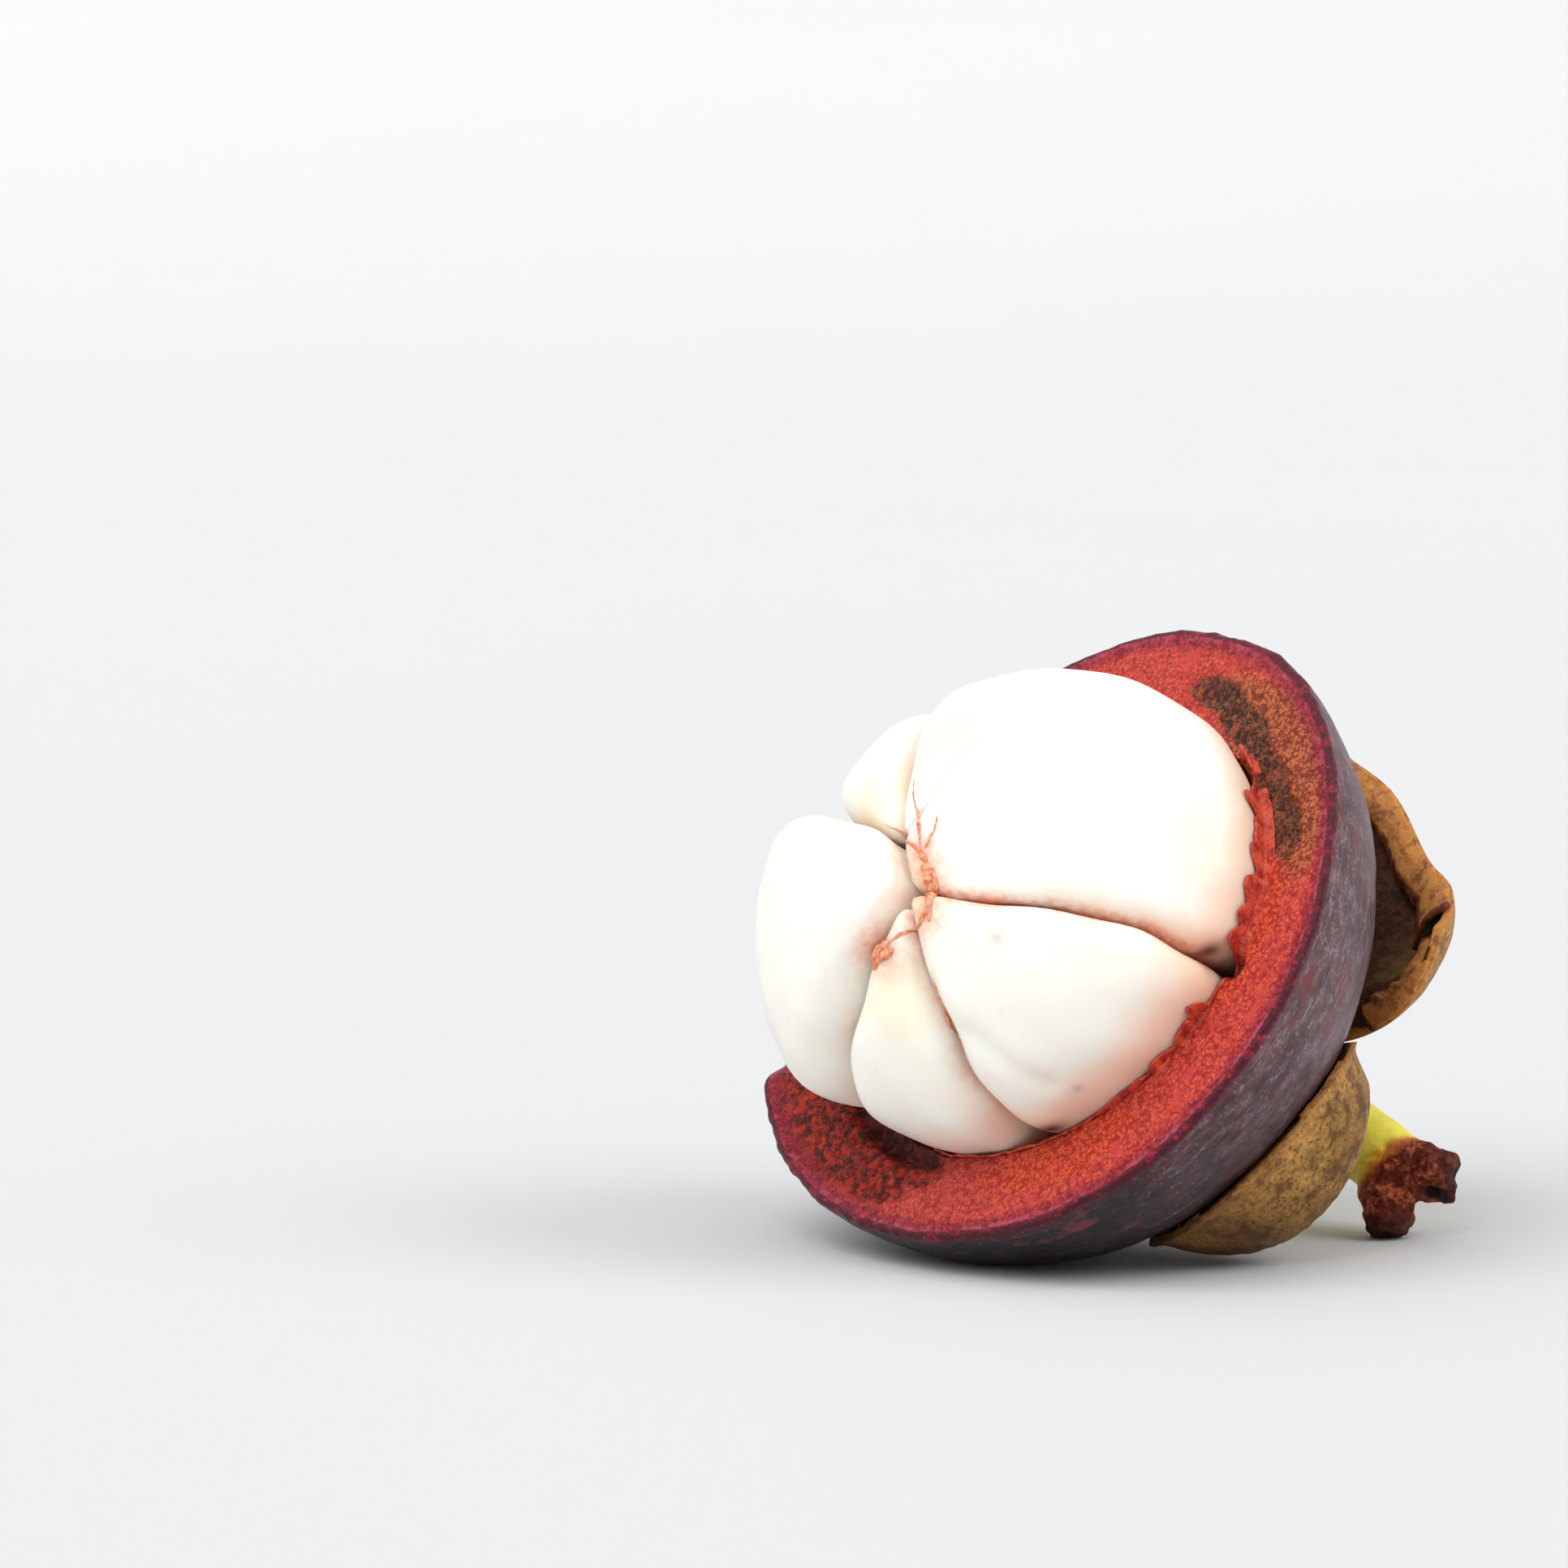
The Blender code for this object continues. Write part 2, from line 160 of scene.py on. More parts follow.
class StemSettings(bpy.types.PropertyGroup):
    """Sizes and colours of the stem."""

    radius: length_setting("Radius", "Radius of the stem", 3.4)
    yellow: color_setting("Yellow", "Yellow of the stem", (0.92, 0.82, 0.105))
    scar: color_setting("Scar", "Red brown of the snapped end", (0.115, 0.015, 0.007))


class StageSettings(bpy.types.PropertyGroup):
    """Floor, lights and camera."""

    floor: color_setting("Floor", "Pale floor", (0.61, 0.615, 0.625))
    key_strength: FloatProperty(name="Key light", description="Strength of the key light", default=1.9)
    side_strength: FloatProperty(name="Side light", description="Strength of the light from the right", default=1.35)
    sky: FloatProperty(name="Sky", description="Strength of the white surroundings", default=0.73)
    lens: FloatProperty(name="Lens", description="Focal length in millimetres", default=165.93)
    distance: length_setting("Distance", "Distance from the camera to the fruit's centre", 650)


SETTINGS = {
    "mangosteen_rind": RindSettings,
    "mangosteen_flesh": FleshSettings,
    "mangosteen_sepals": SepalSettings,
    "mangosteen_stem": StemSettings,
    "mangosteen_stage": StageSettings,
}


# --- Small maths -------------------------------------------------------------------------------------------


def smooth_step(low, high, value):
    """Eases from 0 to 1 as the value goes from low to high. Works on numbers and on arrays."""
    share = np.clip((value - low) / (high - low), 0.0, 1.0)
    return share * share * (3.0 - 2.0 * share)


def smooth_max(first, second, rounding):
    """The larger of two distances, with the corner between them rounded off."""
    overlap = np.maximum(rounding - np.abs(first - second), 0.0) / rounding
    return np.maximum(first, second) + overlap * overlap * rounding / 4


def grain(point, scale, octaves=3):
    """Fractal noise about 0, with features of about the scale."""
    return noise.fractal(Vector(point) / scale, 1.0, 2.0, octaves)


def grains(point, rows):
    """Several grains together: the height and size of each in millimetres, and its octaves."""
    return sum(height * MM * grain(point, size * MM, octaves) for height, size, octaves in rows)


def band(value, rise, fall):
    """1 inside a band of values and 0 outside it, easing across its rising and its falling edge."""
    return float(smooth_step(*rise, value) * (1.0 - smooth_step(*fall, value)))


def swell_of_rind(azimuth):
    """How far the lobes push the skin out at the equator."""
    return sum(height * math.cos(crests * (azimuth - math.radians(crest))) for crests, height, crest in RIND_LOBES)


def turned_away(azimuth, centre):
    """Degrees between an azimuth in radians and a centre in degrees, from -180 to 180."""
    return (math.degrees(azimuth) - centre + 180.0) % 360.0 - 180.0


def patch(azimuth, radius, centre, half_sweep, middle, half_width):
    """1 inside an oval patch of the cut, easing to 0 around it. Angles in degrees, lengths in mm."""
    across = turned_away(azimuth, centre) / half_sweep
    along = (radius / MM - middle) / half_width
    return float(1.0 - smooth_step(0.55, 1.15, math.hypot(across, along)))


# --- Materials ---------------------------------------------------------------------------------------------


def math_operator(operation, reflected=False):
    """An arithmetic operator of Wire, which adds one Math node."""

    def apply(self, other):
        first, second = (other, self) if reflected else (self, other)
        return self.finish.add("ShaderNodeMath", {"operation": operation}, {0: first, 1: second})

    return apply


class Wire:
    """A socket's value. Arithmetic on it adds Math nodes to its material."""

    def __init__(self, finish, socket):
        self.finish = finish
        self.socket = socket

    __add__ = math_operator("ADD")
    __radd__ = math_operator("ADD", reflected=True)
    __sub__ = math_operator("SUBTRACT")
    __rsub__ = math_operator("SUBTRACT", reflected=True)
    __mul__ = math_operator("MULTIPLY")


class Finish:
    """A Principled material that is put together from expressions."""

    def __init__(self, name, **constants):
        self.material = bpy.data.materials.new(name)
        self.material.use_nodes = True
        self.tree = self.material.node_tree
        self.shader = self.tree.nodes["Principled BSDF"]
        for socket, value in constants.items():
            self.shader.inputs[socket.replace("_", " ")].default_value = value
        self.place = None

    def feed(self, socket, value):
        """Links a wire to a socket, or sets its value."""
        if isinstance(value, Wire):
            self.tree.links.new(value.socket, socket)
        elif hasattr(value, "__len__") and len(value) == 3 and socket.type == "RGBA":
            socket.default_value = (*value, 1.0)
        else:
            socket.default_value = value

    def add(self, kind, settings=None, sockets=None, output=0):
        """Adds a node: its type, its settings, then what its sockets get. Returns one of its outputs."""
        node = self.tree.nodes.new(kind)
        for name, value in (settings or {}).items():
            setattr(node, name, value)
        for name, value in (sockets or {}).items():
            self.feed(node.inputs[name], value)
        return Wire(self, node.outputs[output])

    def fruit_place(self, stretch=(1.0, 1.0, 1.0)):
        """The point being shaded, in the fruit frame, stretched along its axes."""
        if self.place is None:
            here = self.add("ShaderNodeTexCoord", output="Object")
            moved = {"Vector": here, "Location": TO_FRUIT.translation, "Rotation": TO_FRUIT.to_euler()}
            self.place = self.add("ShaderNodeMapping", sockets=moved)
        if stretch == (1.0, 1.0, 1.0):
            return self.place
        return self.add("ShaderNodeMapping", sockets={"Vector": self.place, "Scale": stretch})

    def noise(self, size, detail=3.0, roughness=0.5, distortion=0.0, stretch=(1.0, 1.0, 1.0)):
        """Noise from 0 to 1 with features of about the size."""
        sockets = {"Vector": self.fruit_place(stretch), "Scale": 1.0 / size, "Detail": detail}
        sockets.update({"Roughness": roughness, "Distortion": distortion})
        return self.add("ShaderNodeTexNoise", sockets=sockets)

    def cells(self, size):
        """Distance to the nearest of scattered points, in cell sizes."""
        return self.add("ShaderNodeTexVoronoi", sockets={"Vector": self.fruit_place(), "Scale": 1.0 / size})

    def mask(self, name):
        """A mask stored on the mesh."""
        return self.add("ShaderNodeAttribute", {"attribute_name": name}, output="Fac")

    def step(self, value, low, high):
        """0 below low, 1 above high, smooth in between."""
        sockets = {"Value": value, "From Min": low, "From Max": high}
        return self.add("ShaderNodeMapRange", {"interpolation_type": "SMOOTHSTEP"}, sockets)

    def blend(self, amount, under, over):
        """One colour over another."""
        sockets = {0: amount, 6: under, 7: over}
        return self.add("ShaderNodeMix", {"data_type": "RGBA"}, sockets, output=2)

    def bump(self, height, distance, strength):
        """Raises the surface by height times distance."""
        sockets = {"Height": height, "Distance": distance, "Strength": strength}
        normal = self.add("ShaderNodeBump", sockets=sockets)
        self.feed(self.shader.inputs["Normal"], normal)

    def done(self, color, roughness):
        """Links the colour and the roughness, and hands over the material."""
        self.feed(self.shader.inputs["Base Color"], color)
        self.feed(self.shader.inputs["Roughness"], roughness)
        return self.material


# Fixed tints of the rind, as linear red, green and blue. In a pair, a pattern leads from the first to the second.
# Near black of the skin low down: painted shade towards the floor.
SKIN_IN_SHADE = (0.010, 0.008, 0.009)
SPECK = (0.42, 0.37, 0.39)
FROST = (0.46, 0.38, 0.40)
SCRATCH = (0.42, 0.33, 0.35)
RED_MARK = (0.19, 0.040, 0.044)
FRAYED_SKIN = (0.19, 0.020, 0.038)
WARM_CUT = (0.56, 0.056, 0.034)
BRIGHT_GRAIN = (0.78, 0.16, 0.092)
DEEP_GRAIN = (0.25, 0.012, 0.010)
SMOOTH_CUT = (0.56, 0.050, 0.044)
EMBERS = ((0.38, 0.018, 0.008), (0.72, 0.105, 0.036))
RUST = ((0.13, 0.024, 0.010), (0.52, 0.140, 0.045))
BRUISE_BROWN = (0.23, 0.082, 0.032)
BRUISE_SPECK = (0.016, 0.006, 0.004)
BRUISE_RED = (0.34, 0.055, 0.022)
DARK_STAIN = ((0.022, 0.001, 0.001), (0.44, 0.024, 0.007))
DARK_STAIN_GRAIN = (0.52, 0.11, 0.030)
PALE_CRIMSON = (0.38, 0.028, 0.054)
CRIMSON_DOT = (0.060, 0.003, 0.010)
# Near black in the hollow beside the flesh: dark juice and painted shade.
HOLLOW_JUICE_AND_SHADE = ((0.012, 0.002, 0.001), (0.19, 0.012, 0.005))
PITH = ((0.50, 0.12, 0.08), (0.72, 0.36, 0.26))
PINK_EDGE = (0.55, 0.10, 0.17)
MAROON_EDGE = (0.050, 0.006, 0.014)


class RindFinish(Finish):
    """Waxy purple skin outside and granular salmon flesh where the wall is cut."""

    def __init__(self, settings):
        super().__init__("rind_finish", Specular_IOR_Level=0.22)
        self.settings = settings
        self.zone = self.mask("zone")
        # The upper mask grows with height over the floor; where it is low the skin is painted in shade.
        self.upper = self.mask("upper")
        self.fine = self.noise(0.32 * MM, 4.0, 0.6)
        self.coarse = self.noise(1.2 * MM, 4.0, 0.6)
        self.broad = self.noise(8.0 * MM, 3.0, 0.5)
        self.pores = self.noise(0.26 * MM, 3.0, 0.6)
        self.speckle = self.pores - self.cells(0.42 * MM) * 0.45
        self.scuffs = self.noise(1.5 * MM, 6.0, 0.68, 0.3, stretch=(0.75, 0.75, 1.5))
        # The wax is real bloom, faded out towards the floor as painted shade.
        self.wax = self.step(self.scuffs * 0.6 + self.broad * 0.55, 0.38, 0.82) * (self.upper * 0.88 + 0.02)

    def skin_color(self):
        """Dark purple under grey wax, with pale specks, a few scratches and reddish marks, painted near black towards
        the floor as shade.
        """
        fine, coarse, broad = self.fine, self.coarse, self.broad
        # Painted shade: the skin goes near black towards the floor.
        skin = self.blend(self.upper * 0.35, SKIN_IN_SHADE, self.settings.skin)
        skin = self.blend(self.wax, self.blend(self.upper, skin, self.settings.skin), self.settings.bloom)
        specks = self.step(self.cells(0.8 * MM), 0.20, 0.08) * self.step(broad, 0.42, 0.62)
        skin = self.blend(specks * 0.45, skin, SPECK)
        frost = self.step(fine + self.scuffs, 1.02, 1.22) * self.step(self.zone, 0.45, 0.95)
        skin = self.blend(frost * 0.32 * self.upper, skin, FROST)
        streaks = self.noise(0.8 * MM, 3.0, 0.55, 0.8, stretch=(0.16, 0.16, 2.4))
        scratches = self.step(streaks, 0.60, 0.68) * self.step(broad + coarse * 0.5, 0.66, 0.86)
        skin = self.blend(scratches * (self.upper * 0.45 + 0.10), skin, SCRATCH)
        red_marks = self.step(self.noise(3.0 * MM, 4.0, 0.6, stretch=(0.6, 0.6, 1.6)), 0.52, 0.70)
        skin = self.blend(red_marks * (self.step(self.zone, 0.72, 0.95) * 0.35 + 0.5), skin, RED_MARK)
        frayed = self.step(self.zone + coarse * 0.05, 0.985, 1.02) * self.step(fine + broad * 0.6, 0.72, 0.92)
        return self.blend(frayed * 0.40, skin, FRAYED_SKIN)

    def fresh_cut(self):
        """Salmon with orange and deep red grains and a few smooth spots."""
        cut = self.blend(self.step(self.coarse, 0.38, 0.62), self.settings.flesh, WARM_CUT)
        cut = self.blend(self.step(self.speckle, 0.28, 0.50) * 0.55, cut, BRIGHT_GRAIN)
        cut = self.blend(self.step(self.speckle, 0.28, 0.06) * 0.85, cut, DEEP_GRAIN)
        smooth_spots = self.step(self.noise(3.2 * MM, 2.0, 0.5), 0.56, 0.68)
        return self.blend(smooth_spots * 0.6, cut, SMOOTH_CUT)

    def rusted(self, cut):
        """Embers and rust over the cut, then the olive-brown bruise."""
        fine, coarse, speckle = self.fine, self.coarse, self.speckle
        ember = self.step(self.mask("ember") + coarse * 0.9 - 0.45, 0.25, 0.75)
        cut = self.blend(ember * 0.8, cut, self.blend(self.step(speckle, 0.12, 0.45), *EMBERS))
        rust = self.step(self.mask("rust") + self.broad * 0.5 + coarse * 0.6 - 0.55, 0.15, 0.75)
        cut = self.blend(rust * 0.85, cut, self.blend(self.step(speckle + coarse * 0.8, 0.52, 0.86), *RUST))
        bruise = self.step(self.mask("bruise") * 1.2 + coarse * 3.0 + fine - 2.00, 0.25, 0.95)
        bruised = self.blend(self.step(fine * 0.5 + coarse, 0.68, 0.96), self.settings.bruise, BRUISE_BROWN)
        bruised = self.blend(self.step(speckle + coarse * 0.5, 0.60, 0.44) * 0.9, bruised, BRUISE_SPECK)
        bruised = self.blend(self.step(coarse + self.pores * 0.5, 0.80, 1.0) * 0.6, bruised, BRUISE_RED)
        return self.blend(bruise * 0.88, cut, bruised)

    def darkened(self, cut):
        """The dark stain, crimson with a row of dots under the skin, the hollow beside the flesh, darkened by juice
        and by painted shade, and the pith.
        """
        coarse, zone = self.coarse, self.zone
        mottle = self.noise(0.75 * MM, 4.0, 0.65)
        stain = self.step(self.mask("dark") * 1.1 + coarse * 2.2 - 1.15, 0.12, 0.80)
        dark = self.blend(self.step(mottle + coarse * 0.5, 0.63, 0.91), *DARK_STAIN)
        dark = self.blend(self.step(self.fine, 0.56, 0.72) * 0.7, dark, DARK_STAIN_GRAIN)
        cut = self.blend(stain * 0.93, cut, dark)
        under_skin = self.step(zone - 1.0 + coarse * 0.20 - 0.10, 0.24, 0.04)
        crimson_grains = self.step(self.speckle + coarse * 0.4, 0.34, 0.66) * 0.8
        cut = self.blend(under_skin * 0.9, cut, self.blend(crimson_grains, self.settings.crimson, PALE_CRIMSON))
        beside_edge = self.step(zone, 1.00, 1.02) * self.step(zone, 1.17, 1.06)
        dots = self.step(self.cells(0.62 * MM), 0.36, 0.22) * beside_edge
        cut = self.blend(dots * 0.75, cut, CRIMSON_DOT)
        # Painted shade with dark juice in the hollow beside the flesh.
        hollow = self.step(self.mask("hollow") * 1.1 + coarse * 1.6 - 0.90, 0.20, 0.85)
        cut = self.blend(hollow * 0.8, cut, self.blend(self.step(mottle, 0.45, 0.70), *HOLLOW_JUICE_AND_SHADE))
        return self.blend(self.step(zone, 2.10, 2.30), cut, self.blend(self.fine, *PITH))

    def edged(self, skin, cut):
        """Skin and cut, with a broken dark maroon line and a pink one inside it where they meet."""
        coarse = self.coarse
        edge = self.zone + self.fine * 0.016 - 0.008
        maroon = self.step(edge, 0.982, 0.990) * self.step(edge, 1.010, 1.002) * self.step(coarse, 0.36, 0.50)
        pink = self.step(edge, 1.000, 1.012) * self.step(edge, 1.080, 1.030)
        pink = pink * self.step(coarse + self.broad, 0.90, 1.16)
        color = self.blend(self.step(edge, 0.984, 0.992), skin, cut)
        color = self.blend(pink * 0.45, color, PINK_EDGE)
        return self.blend(maroon * 0.85, color, MAROON_EDGE)

    def whole(self):
        """Puts skin, cut and edge together, smooth and waxy outside and rough where it is cut."""
        fine, is_cut = self.fine, self.step(self.zone, 0.985, 1.0)
        waxy_or_cut = {0: is_cut, 2: 0.33 + self.wax * 0.14 + fine * 0.08, 3: 0.30 + fine * 0.3}
        roughness = self.add("ShaderNodeMix", sockets=waxy_or_cut)
        rough_cut = fine * 0.5 + self.coarse + self.pores * 0.3
        rough_skin = self.scuffs * 0.35 + fine * 0.1
        self.bump(rough_cut * is_cut + rough_skin * (1.0 - is_cut), 0.42 * MM, 0.9)
        cut = self.darkened(self.rusted(self.fresh_cut()))
        return self.done(self.edged(self.skin_color(), cut), roughness)


# Fixed tints of the flesh, its fibres and the lining.
WARM_WHITE = (0.93, 0.87, 0.76)
CREAM = (0.93, 0.85, 0.58)
VEIN = (0.80, 0.72, 0.62)
SEAM_RED = (0.74, 0.27, 0.15)
GREY_SPOT = (0.45, 0.40, 0.36)
# Near black in two pits of the flesh: painted shade.
SHADED_PIT_COLOR = (0.10, 0.012, 0.008)
PALE_FIBRE = (0.88, 0.42, 0.25)
LINING = ((0.40, 0.022, 0.014), (0.70, 0.095, 0.038))
DARK_LINING = (0.16, 0.010, 0.007)


def flesh_finish(settings):
    """White, moist and a little translucent, with peach along the seams and where it meets the rind, and painted shade
    in two pits.
    """
    finish = Finish(
        "flesh_finish", Subsurface_Weight=0.7, Subsurface_Scale=3.4 * MM, Subsurface_Radius=(1.0, 0.5, 0.3)
    )
    blotch = finish.noise(4.0 * MM, 3.0, 0.55)
    fine = finish.noise(0.8 * MM, 3.0, 0.5)
    veins = finish.noise(1.4 * MM, 2.0, 0.5, 0.3, stretch=(1.0, 1.0, 0.25))
    cream = finish.step(finish.mask("cream") + blotch * 0.6 - 0.3, 0.15, 0.95)
    color = finish.blend(finish.step(blotch, 0.40, 0.70) * 0.35, settings.white, WARM_WHITE)
    color = finish.blend(cream * 0.5, color, CREAM)
    color = finish.blend(finish.step(veins, 0.56, 0.70) * 0.10, color, VEIN)
    blush = finish.step(finish.mask("blush") + blotch * 0.5 - 0.25, 0.05, 1.0)
    color = finish.blend(blush * 0.72, color, settings.blush)
    color = finish.blend(finish.mask("seam") * finish.step(fine + blotch, 0.70, 1.20) * 0.8, color, SEAM_RED)
    color = finish.blend(finish.mask("spot") * 0.6, color, GREY_SPOT)
    # Painted shade in two pits where the seams meet the rind.
    color = finish.blend(finish.mask("pit"), color, SHADED_PIT_COLOR)
    finish.bump(veins * 0.6 + fine * 0.25, 0.12 * MM, 0.4)
    return finish.done(color, 0.32 + fine * 0.16)


def fibre_finish(settings):
    """Orange-red threads of the rind's lining."""
    finish = Finish("fibre_finish", Subsurface_Weight=0.3, Subsurface_Scale=1.2 * MM, Specular_IOR_Level=0.3)
    fine = finish.noise(0.4 * MM, 3.0, 0.6)
    color = finish.blend(finish.step(fine, 0.35, 0.65), settings.fibre, PALE_FIBRE)
    finish.bump(fine, 0.1 * MM, 0.8)
    return finish.done(color, 0.4 + fine * 0.2)


def lining_finish():
    """Ragged orange-red edge of the rind's lining."""
    finish = Finish("lining_finish", Subsurface_Weight=0.1, Subsurface_Scale=0.8 * MM)
    fine = finish.noise(0.4 * MM, 3.0, 0.6)
    streaks = finish.noise(0.9 * MM, 4.0, 0.65, stretch=(1.0, 1.0, 0.3))
    color = finish.blend(finish.step(streaks, 0.38, 0.64), *LINING)
    color = finish.blend(finish.step(fine + streaks * 0.5, 0.66, 0.50) * 0.85, color, DARK_LINING)
    finish.bump(fine + streaks * 1.5, 0.25 * MM, 0.9)
    return finish.done(color, 0.36 + fine * 0.2)


# Fixed tints of the sepals.
DEEP_TAN = (0.24, 0.120, 0.026)
PALE_TAN = (0.70, 0.38, 0.095)
PORE_BROWN = (0.055, 0.018, 0.006)
# Dark brown near the floor: painted shade.
SHADE_BROWN = (0.050, 0.018, 0.006)
INNER_BROWN = ((0.042, 0.011, 0.003), (0.110, 0.034, 0.009))
INNER_OLIVE = ((0.16, 0.10, 0.024), (0.40, 0.27, 0.08))
DARK_LIP = (0.27, 0.085, 0.028)
PALE_LIP = (0.66, 0.32, 0.10)
# Dark crust along the flaps' free edges and beside the low flap, with painted shade where the flaps overhang.
TORN_CRUST_AND_SHADE = ((0.045, 0.008, 0.004), (0.19, 0.035, 0.014))


def sepal_finish(settings):
    """Leathery: mottled olive tan outside, dark brown inside, with dry orange-tan lips; painted shade darkens the
    outside near the floor, and dark crust with painted shade runs along the flaps' free edges.
    """
    finish = Finish("sepal_finish", Specular_IOR_Level=0.18)
    fine = finish.noise(0.45 * MM, 4.0, 0.62)
    blotch = finish.noise(1.7 * MM, 4.0, 0.62)
    broad = finish.noise(6.0 * MM, 2.0)
    fibres = finish.noise(1.0 * MM, 3.0, 0.6, 0.5, stretch=(1.0, 1.0, 0.35))
    outside = finish.blend(finish.step(broad, 0.42, 0.60) * 0.7, settings.tan, DEEP_TAN)
    outside = finish.blend(finish.step(fine + blotch * 0.5, 0.72, 0.88) * 0.85, outside, PALE_TAN)
    outside = finish.blend(finish.step(blotch + fine * 0.7 + broad * 0.4, 1.04, 1.20) * 0.85, outside, settings.brown)
    outside = finish.blend(finish.step(fine, 0.47, 0.34) * 0.85, outside, PORE_BROWN)
    # Painted shade: the outside goes dark brown near the floor.
    outside = finish.blend(finish.mask("shade_near_floor") * 0.7, outside, SHADE_BROWN)
    inside = finish.blend(finish.step(fibres, 0.42, 0.62), *INNER_BROWN)
    inside = finish.blend(finish.mask("olive_base"), inside, finish.blend(fibres, *INNER_OLIVE))
    lip = finish.blend(finish.step(blotch, 0.48, 0.64), settings.edge, DARK_LIP)
    lip = finish.blend(finish.step(fine, 0.50, 0.68) * 0.6, lip, PALE_LIP)
    color = finish.blend(finish.mask("inner"), outside, inside)
    color = finish.blend(finish.mask("hem"), color, lip)
    # Dark crust with painted shade along the flaps' edges and beside the low flap.
    crust_and_shade = finish.step(finish.mask("crust_and_shade") + blotch * 0.6 + fine * 0.6 - 0.60, 0.30, 0.62)
    color = finish.blend(crust_and_shade * 0.9, color, finish.blend(finish.step(fine, 0.42, 0.62), *TORN_CRUST_AND_SHADE))
    finish.bump(fine * 0.5 + fibres * 0.7 + blotch * 0.7, 0.25 * MM, 0.85)
    return finish.done(color, 0.44 + fine * 0.25)


# Fixed tints of the stem.
GREENISH_YELLOW = (0.80, 0.76, 0.10)
ROOT_OLIVE = (0.36, 0.33, 0.055)
YELLOW_SPECK = (0.45, 0.33, 0.050)
ORANGE_BAND = (0.62, 0.26, 0.022)
RED_BAND = (0.40, 0.070, 0.030)
RED_SCAR = (0.36, 0.075, 0.032)
SCAR_PORE = (0.020, 0.004, 0.002)
SCAR_GRAIN = (0.58, 0.20, 0.085)
# Near black of the snapped ends and of the pit under the upper stub: dark dried scar, with painted shade under the
# ends and in the pit.
DARK_SCAR_AND_SHADE = (0.016, 0.007, 0.006)


def stem_finish(settings):
    """Yellow and smooth, with orange and red bands that lead to a crumbly scar where it snapped, its ends near black
    with dark scar and painted shade, and a pit painted black as shade.
    """
    finish = Finish("stem_finish", Subsurface_Weight=0.15, Subsurface_Scale=1.2 * MM, Specular_IOR_Level=0.1)
    fine = finish.noise(0.40 * MM, 4.0, 0.6)
    blotch = finish.noise(1.5 * MM, 3.0, 0.6)
    yellow = finish.blend(finish.step(blotch, 0.40, 0.65), settings.yellow, GREENISH_YELLOW)
    yellow = finish.blend(finish.mask("root") * 0.75, yellow, ROOT_OLIVE)
    yellow = finish.blend(finish.step(fine, 0.58, 0.72) * 0.35, yellow, YELLOW_SPECK)
    scar = finish.blend(finish.step(blotch, 0.46, 0.62), settings.scar, RED_SCAR)
    scar = finish.blend(finish.step(fine, 0.50, 0.36) * 0.8, scar, SCAR_PORE)
    scar = finish.blend(finish.step(fine + blotch * 0.5, 0.84, 0.96) * 0.7, scar, SCAR_GRAIN)
    towards_scar = finish.mask("snapped") + blotch * 0.6 - 0.30
    snapped = finish.step(towards_scar, 0.55, 0.80)
    color = finish.blend(finish.step(towards_scar, 0.10, 0.50) * 0.85, yellow, ORANGE_BAND)
    color = finish.blend(finish.step(towards_scar, 0.36, 0.66) * 0.9, color, RED_BAND)
    color = finish.blend(snapped, color, scar)
    # Near black ends and pit: dark scar and painted shade.
    color = finish.blend(finish.step(finish.mask("tip") + fine * 0.8 - 0.4, 0.10, 0.90), color, DARK_SCAR_AND_SHADE)
    finish.bump(fine * snapped + blotch * 0.4, 0.3 * MM, 0.8)
    return finish.done(color, 0.42 + fine * 0.25)


FLOOR_SHADE_SIZE = 0.25
FLOOR_PALER = 1.02


def floor_finish(settings):
    """Plain pale matt floor."""
    finish = Finish("floor_finish", Specular_IOR_Level=0.1)
    paler = [min(1.0, level * FLOOR_PALER) for level in settings.floor]
    color = finish.blend(finish.noise(FLOOR_SHADE_SIZE, 2.0), settings.floor, paler)
    return finish.done(color, 0.8)


# --- Pieces ------------------------------------------------------------------------------------------------


MERGE_DISTANCE = 0.001 * MM


def mask_layers(shape, *names):
    """New masks on a shape's vertices, by name."""
    return {name: shape.verts.layers.float.new(name) for name in names}


def spin_round(shape, corners, steps, merge_distance):
    """Joins vertices into a section and spins it all the way around Z."""
    edges = [shape.edges.new(pair) for pair in zip(corners, corners[1:])]
    bmesh.ops.spin(
        shape,
        geom=corners + edges,
        cent=(0.0, 0.0, 0.0),
        axis=(0.0, 0.0, 1.0),
        angle=math.tau,
        steps=steps,
        use_merge=True,
    )
    bmesh.ops.remove_doubles(shape, verts=shape.verts, dist=merge_distance)


def lean_over(shape, lowest=None):
    """Takes a shape from the fruit frame to the world, flattens it at a lowest height and turns its faces out."""
    bmesh.ops.transform(shape, matrix=TO_WORLD, verts=shape.verts)
    if lowest is not None:
        for corner in shape.verts:
            corner.co.z = max(corner.co.z, lowest)
    bmesh.ops.recalc_face_normals(shape, faces=shape.faces)


def add_object(name, shape, material):
    """Turns a bmesh in world coordinates into a smooth object at the origin."""
    mesh = bpy.data.meshes.new(name)
    shape.to_mesh(mesh)
    shape.free()
    mesh.materials.append(material)
    mesh.shade_smooth()
    added = bpy.data.objects.new(name, mesh)
    bpy.context.scene.collection.objects.link(added)
    return added


def add_piece(name, shape, material, replaced=()):
    """Turns a bmesh in world coordinates into a piece of the fruit."""
    piece = add_object(name, shape, material)
    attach(piece, "root")
    if replaced:
        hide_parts(*replaced)
    return piece


# --- Rind --------------------------------------------------------------------------------------------------


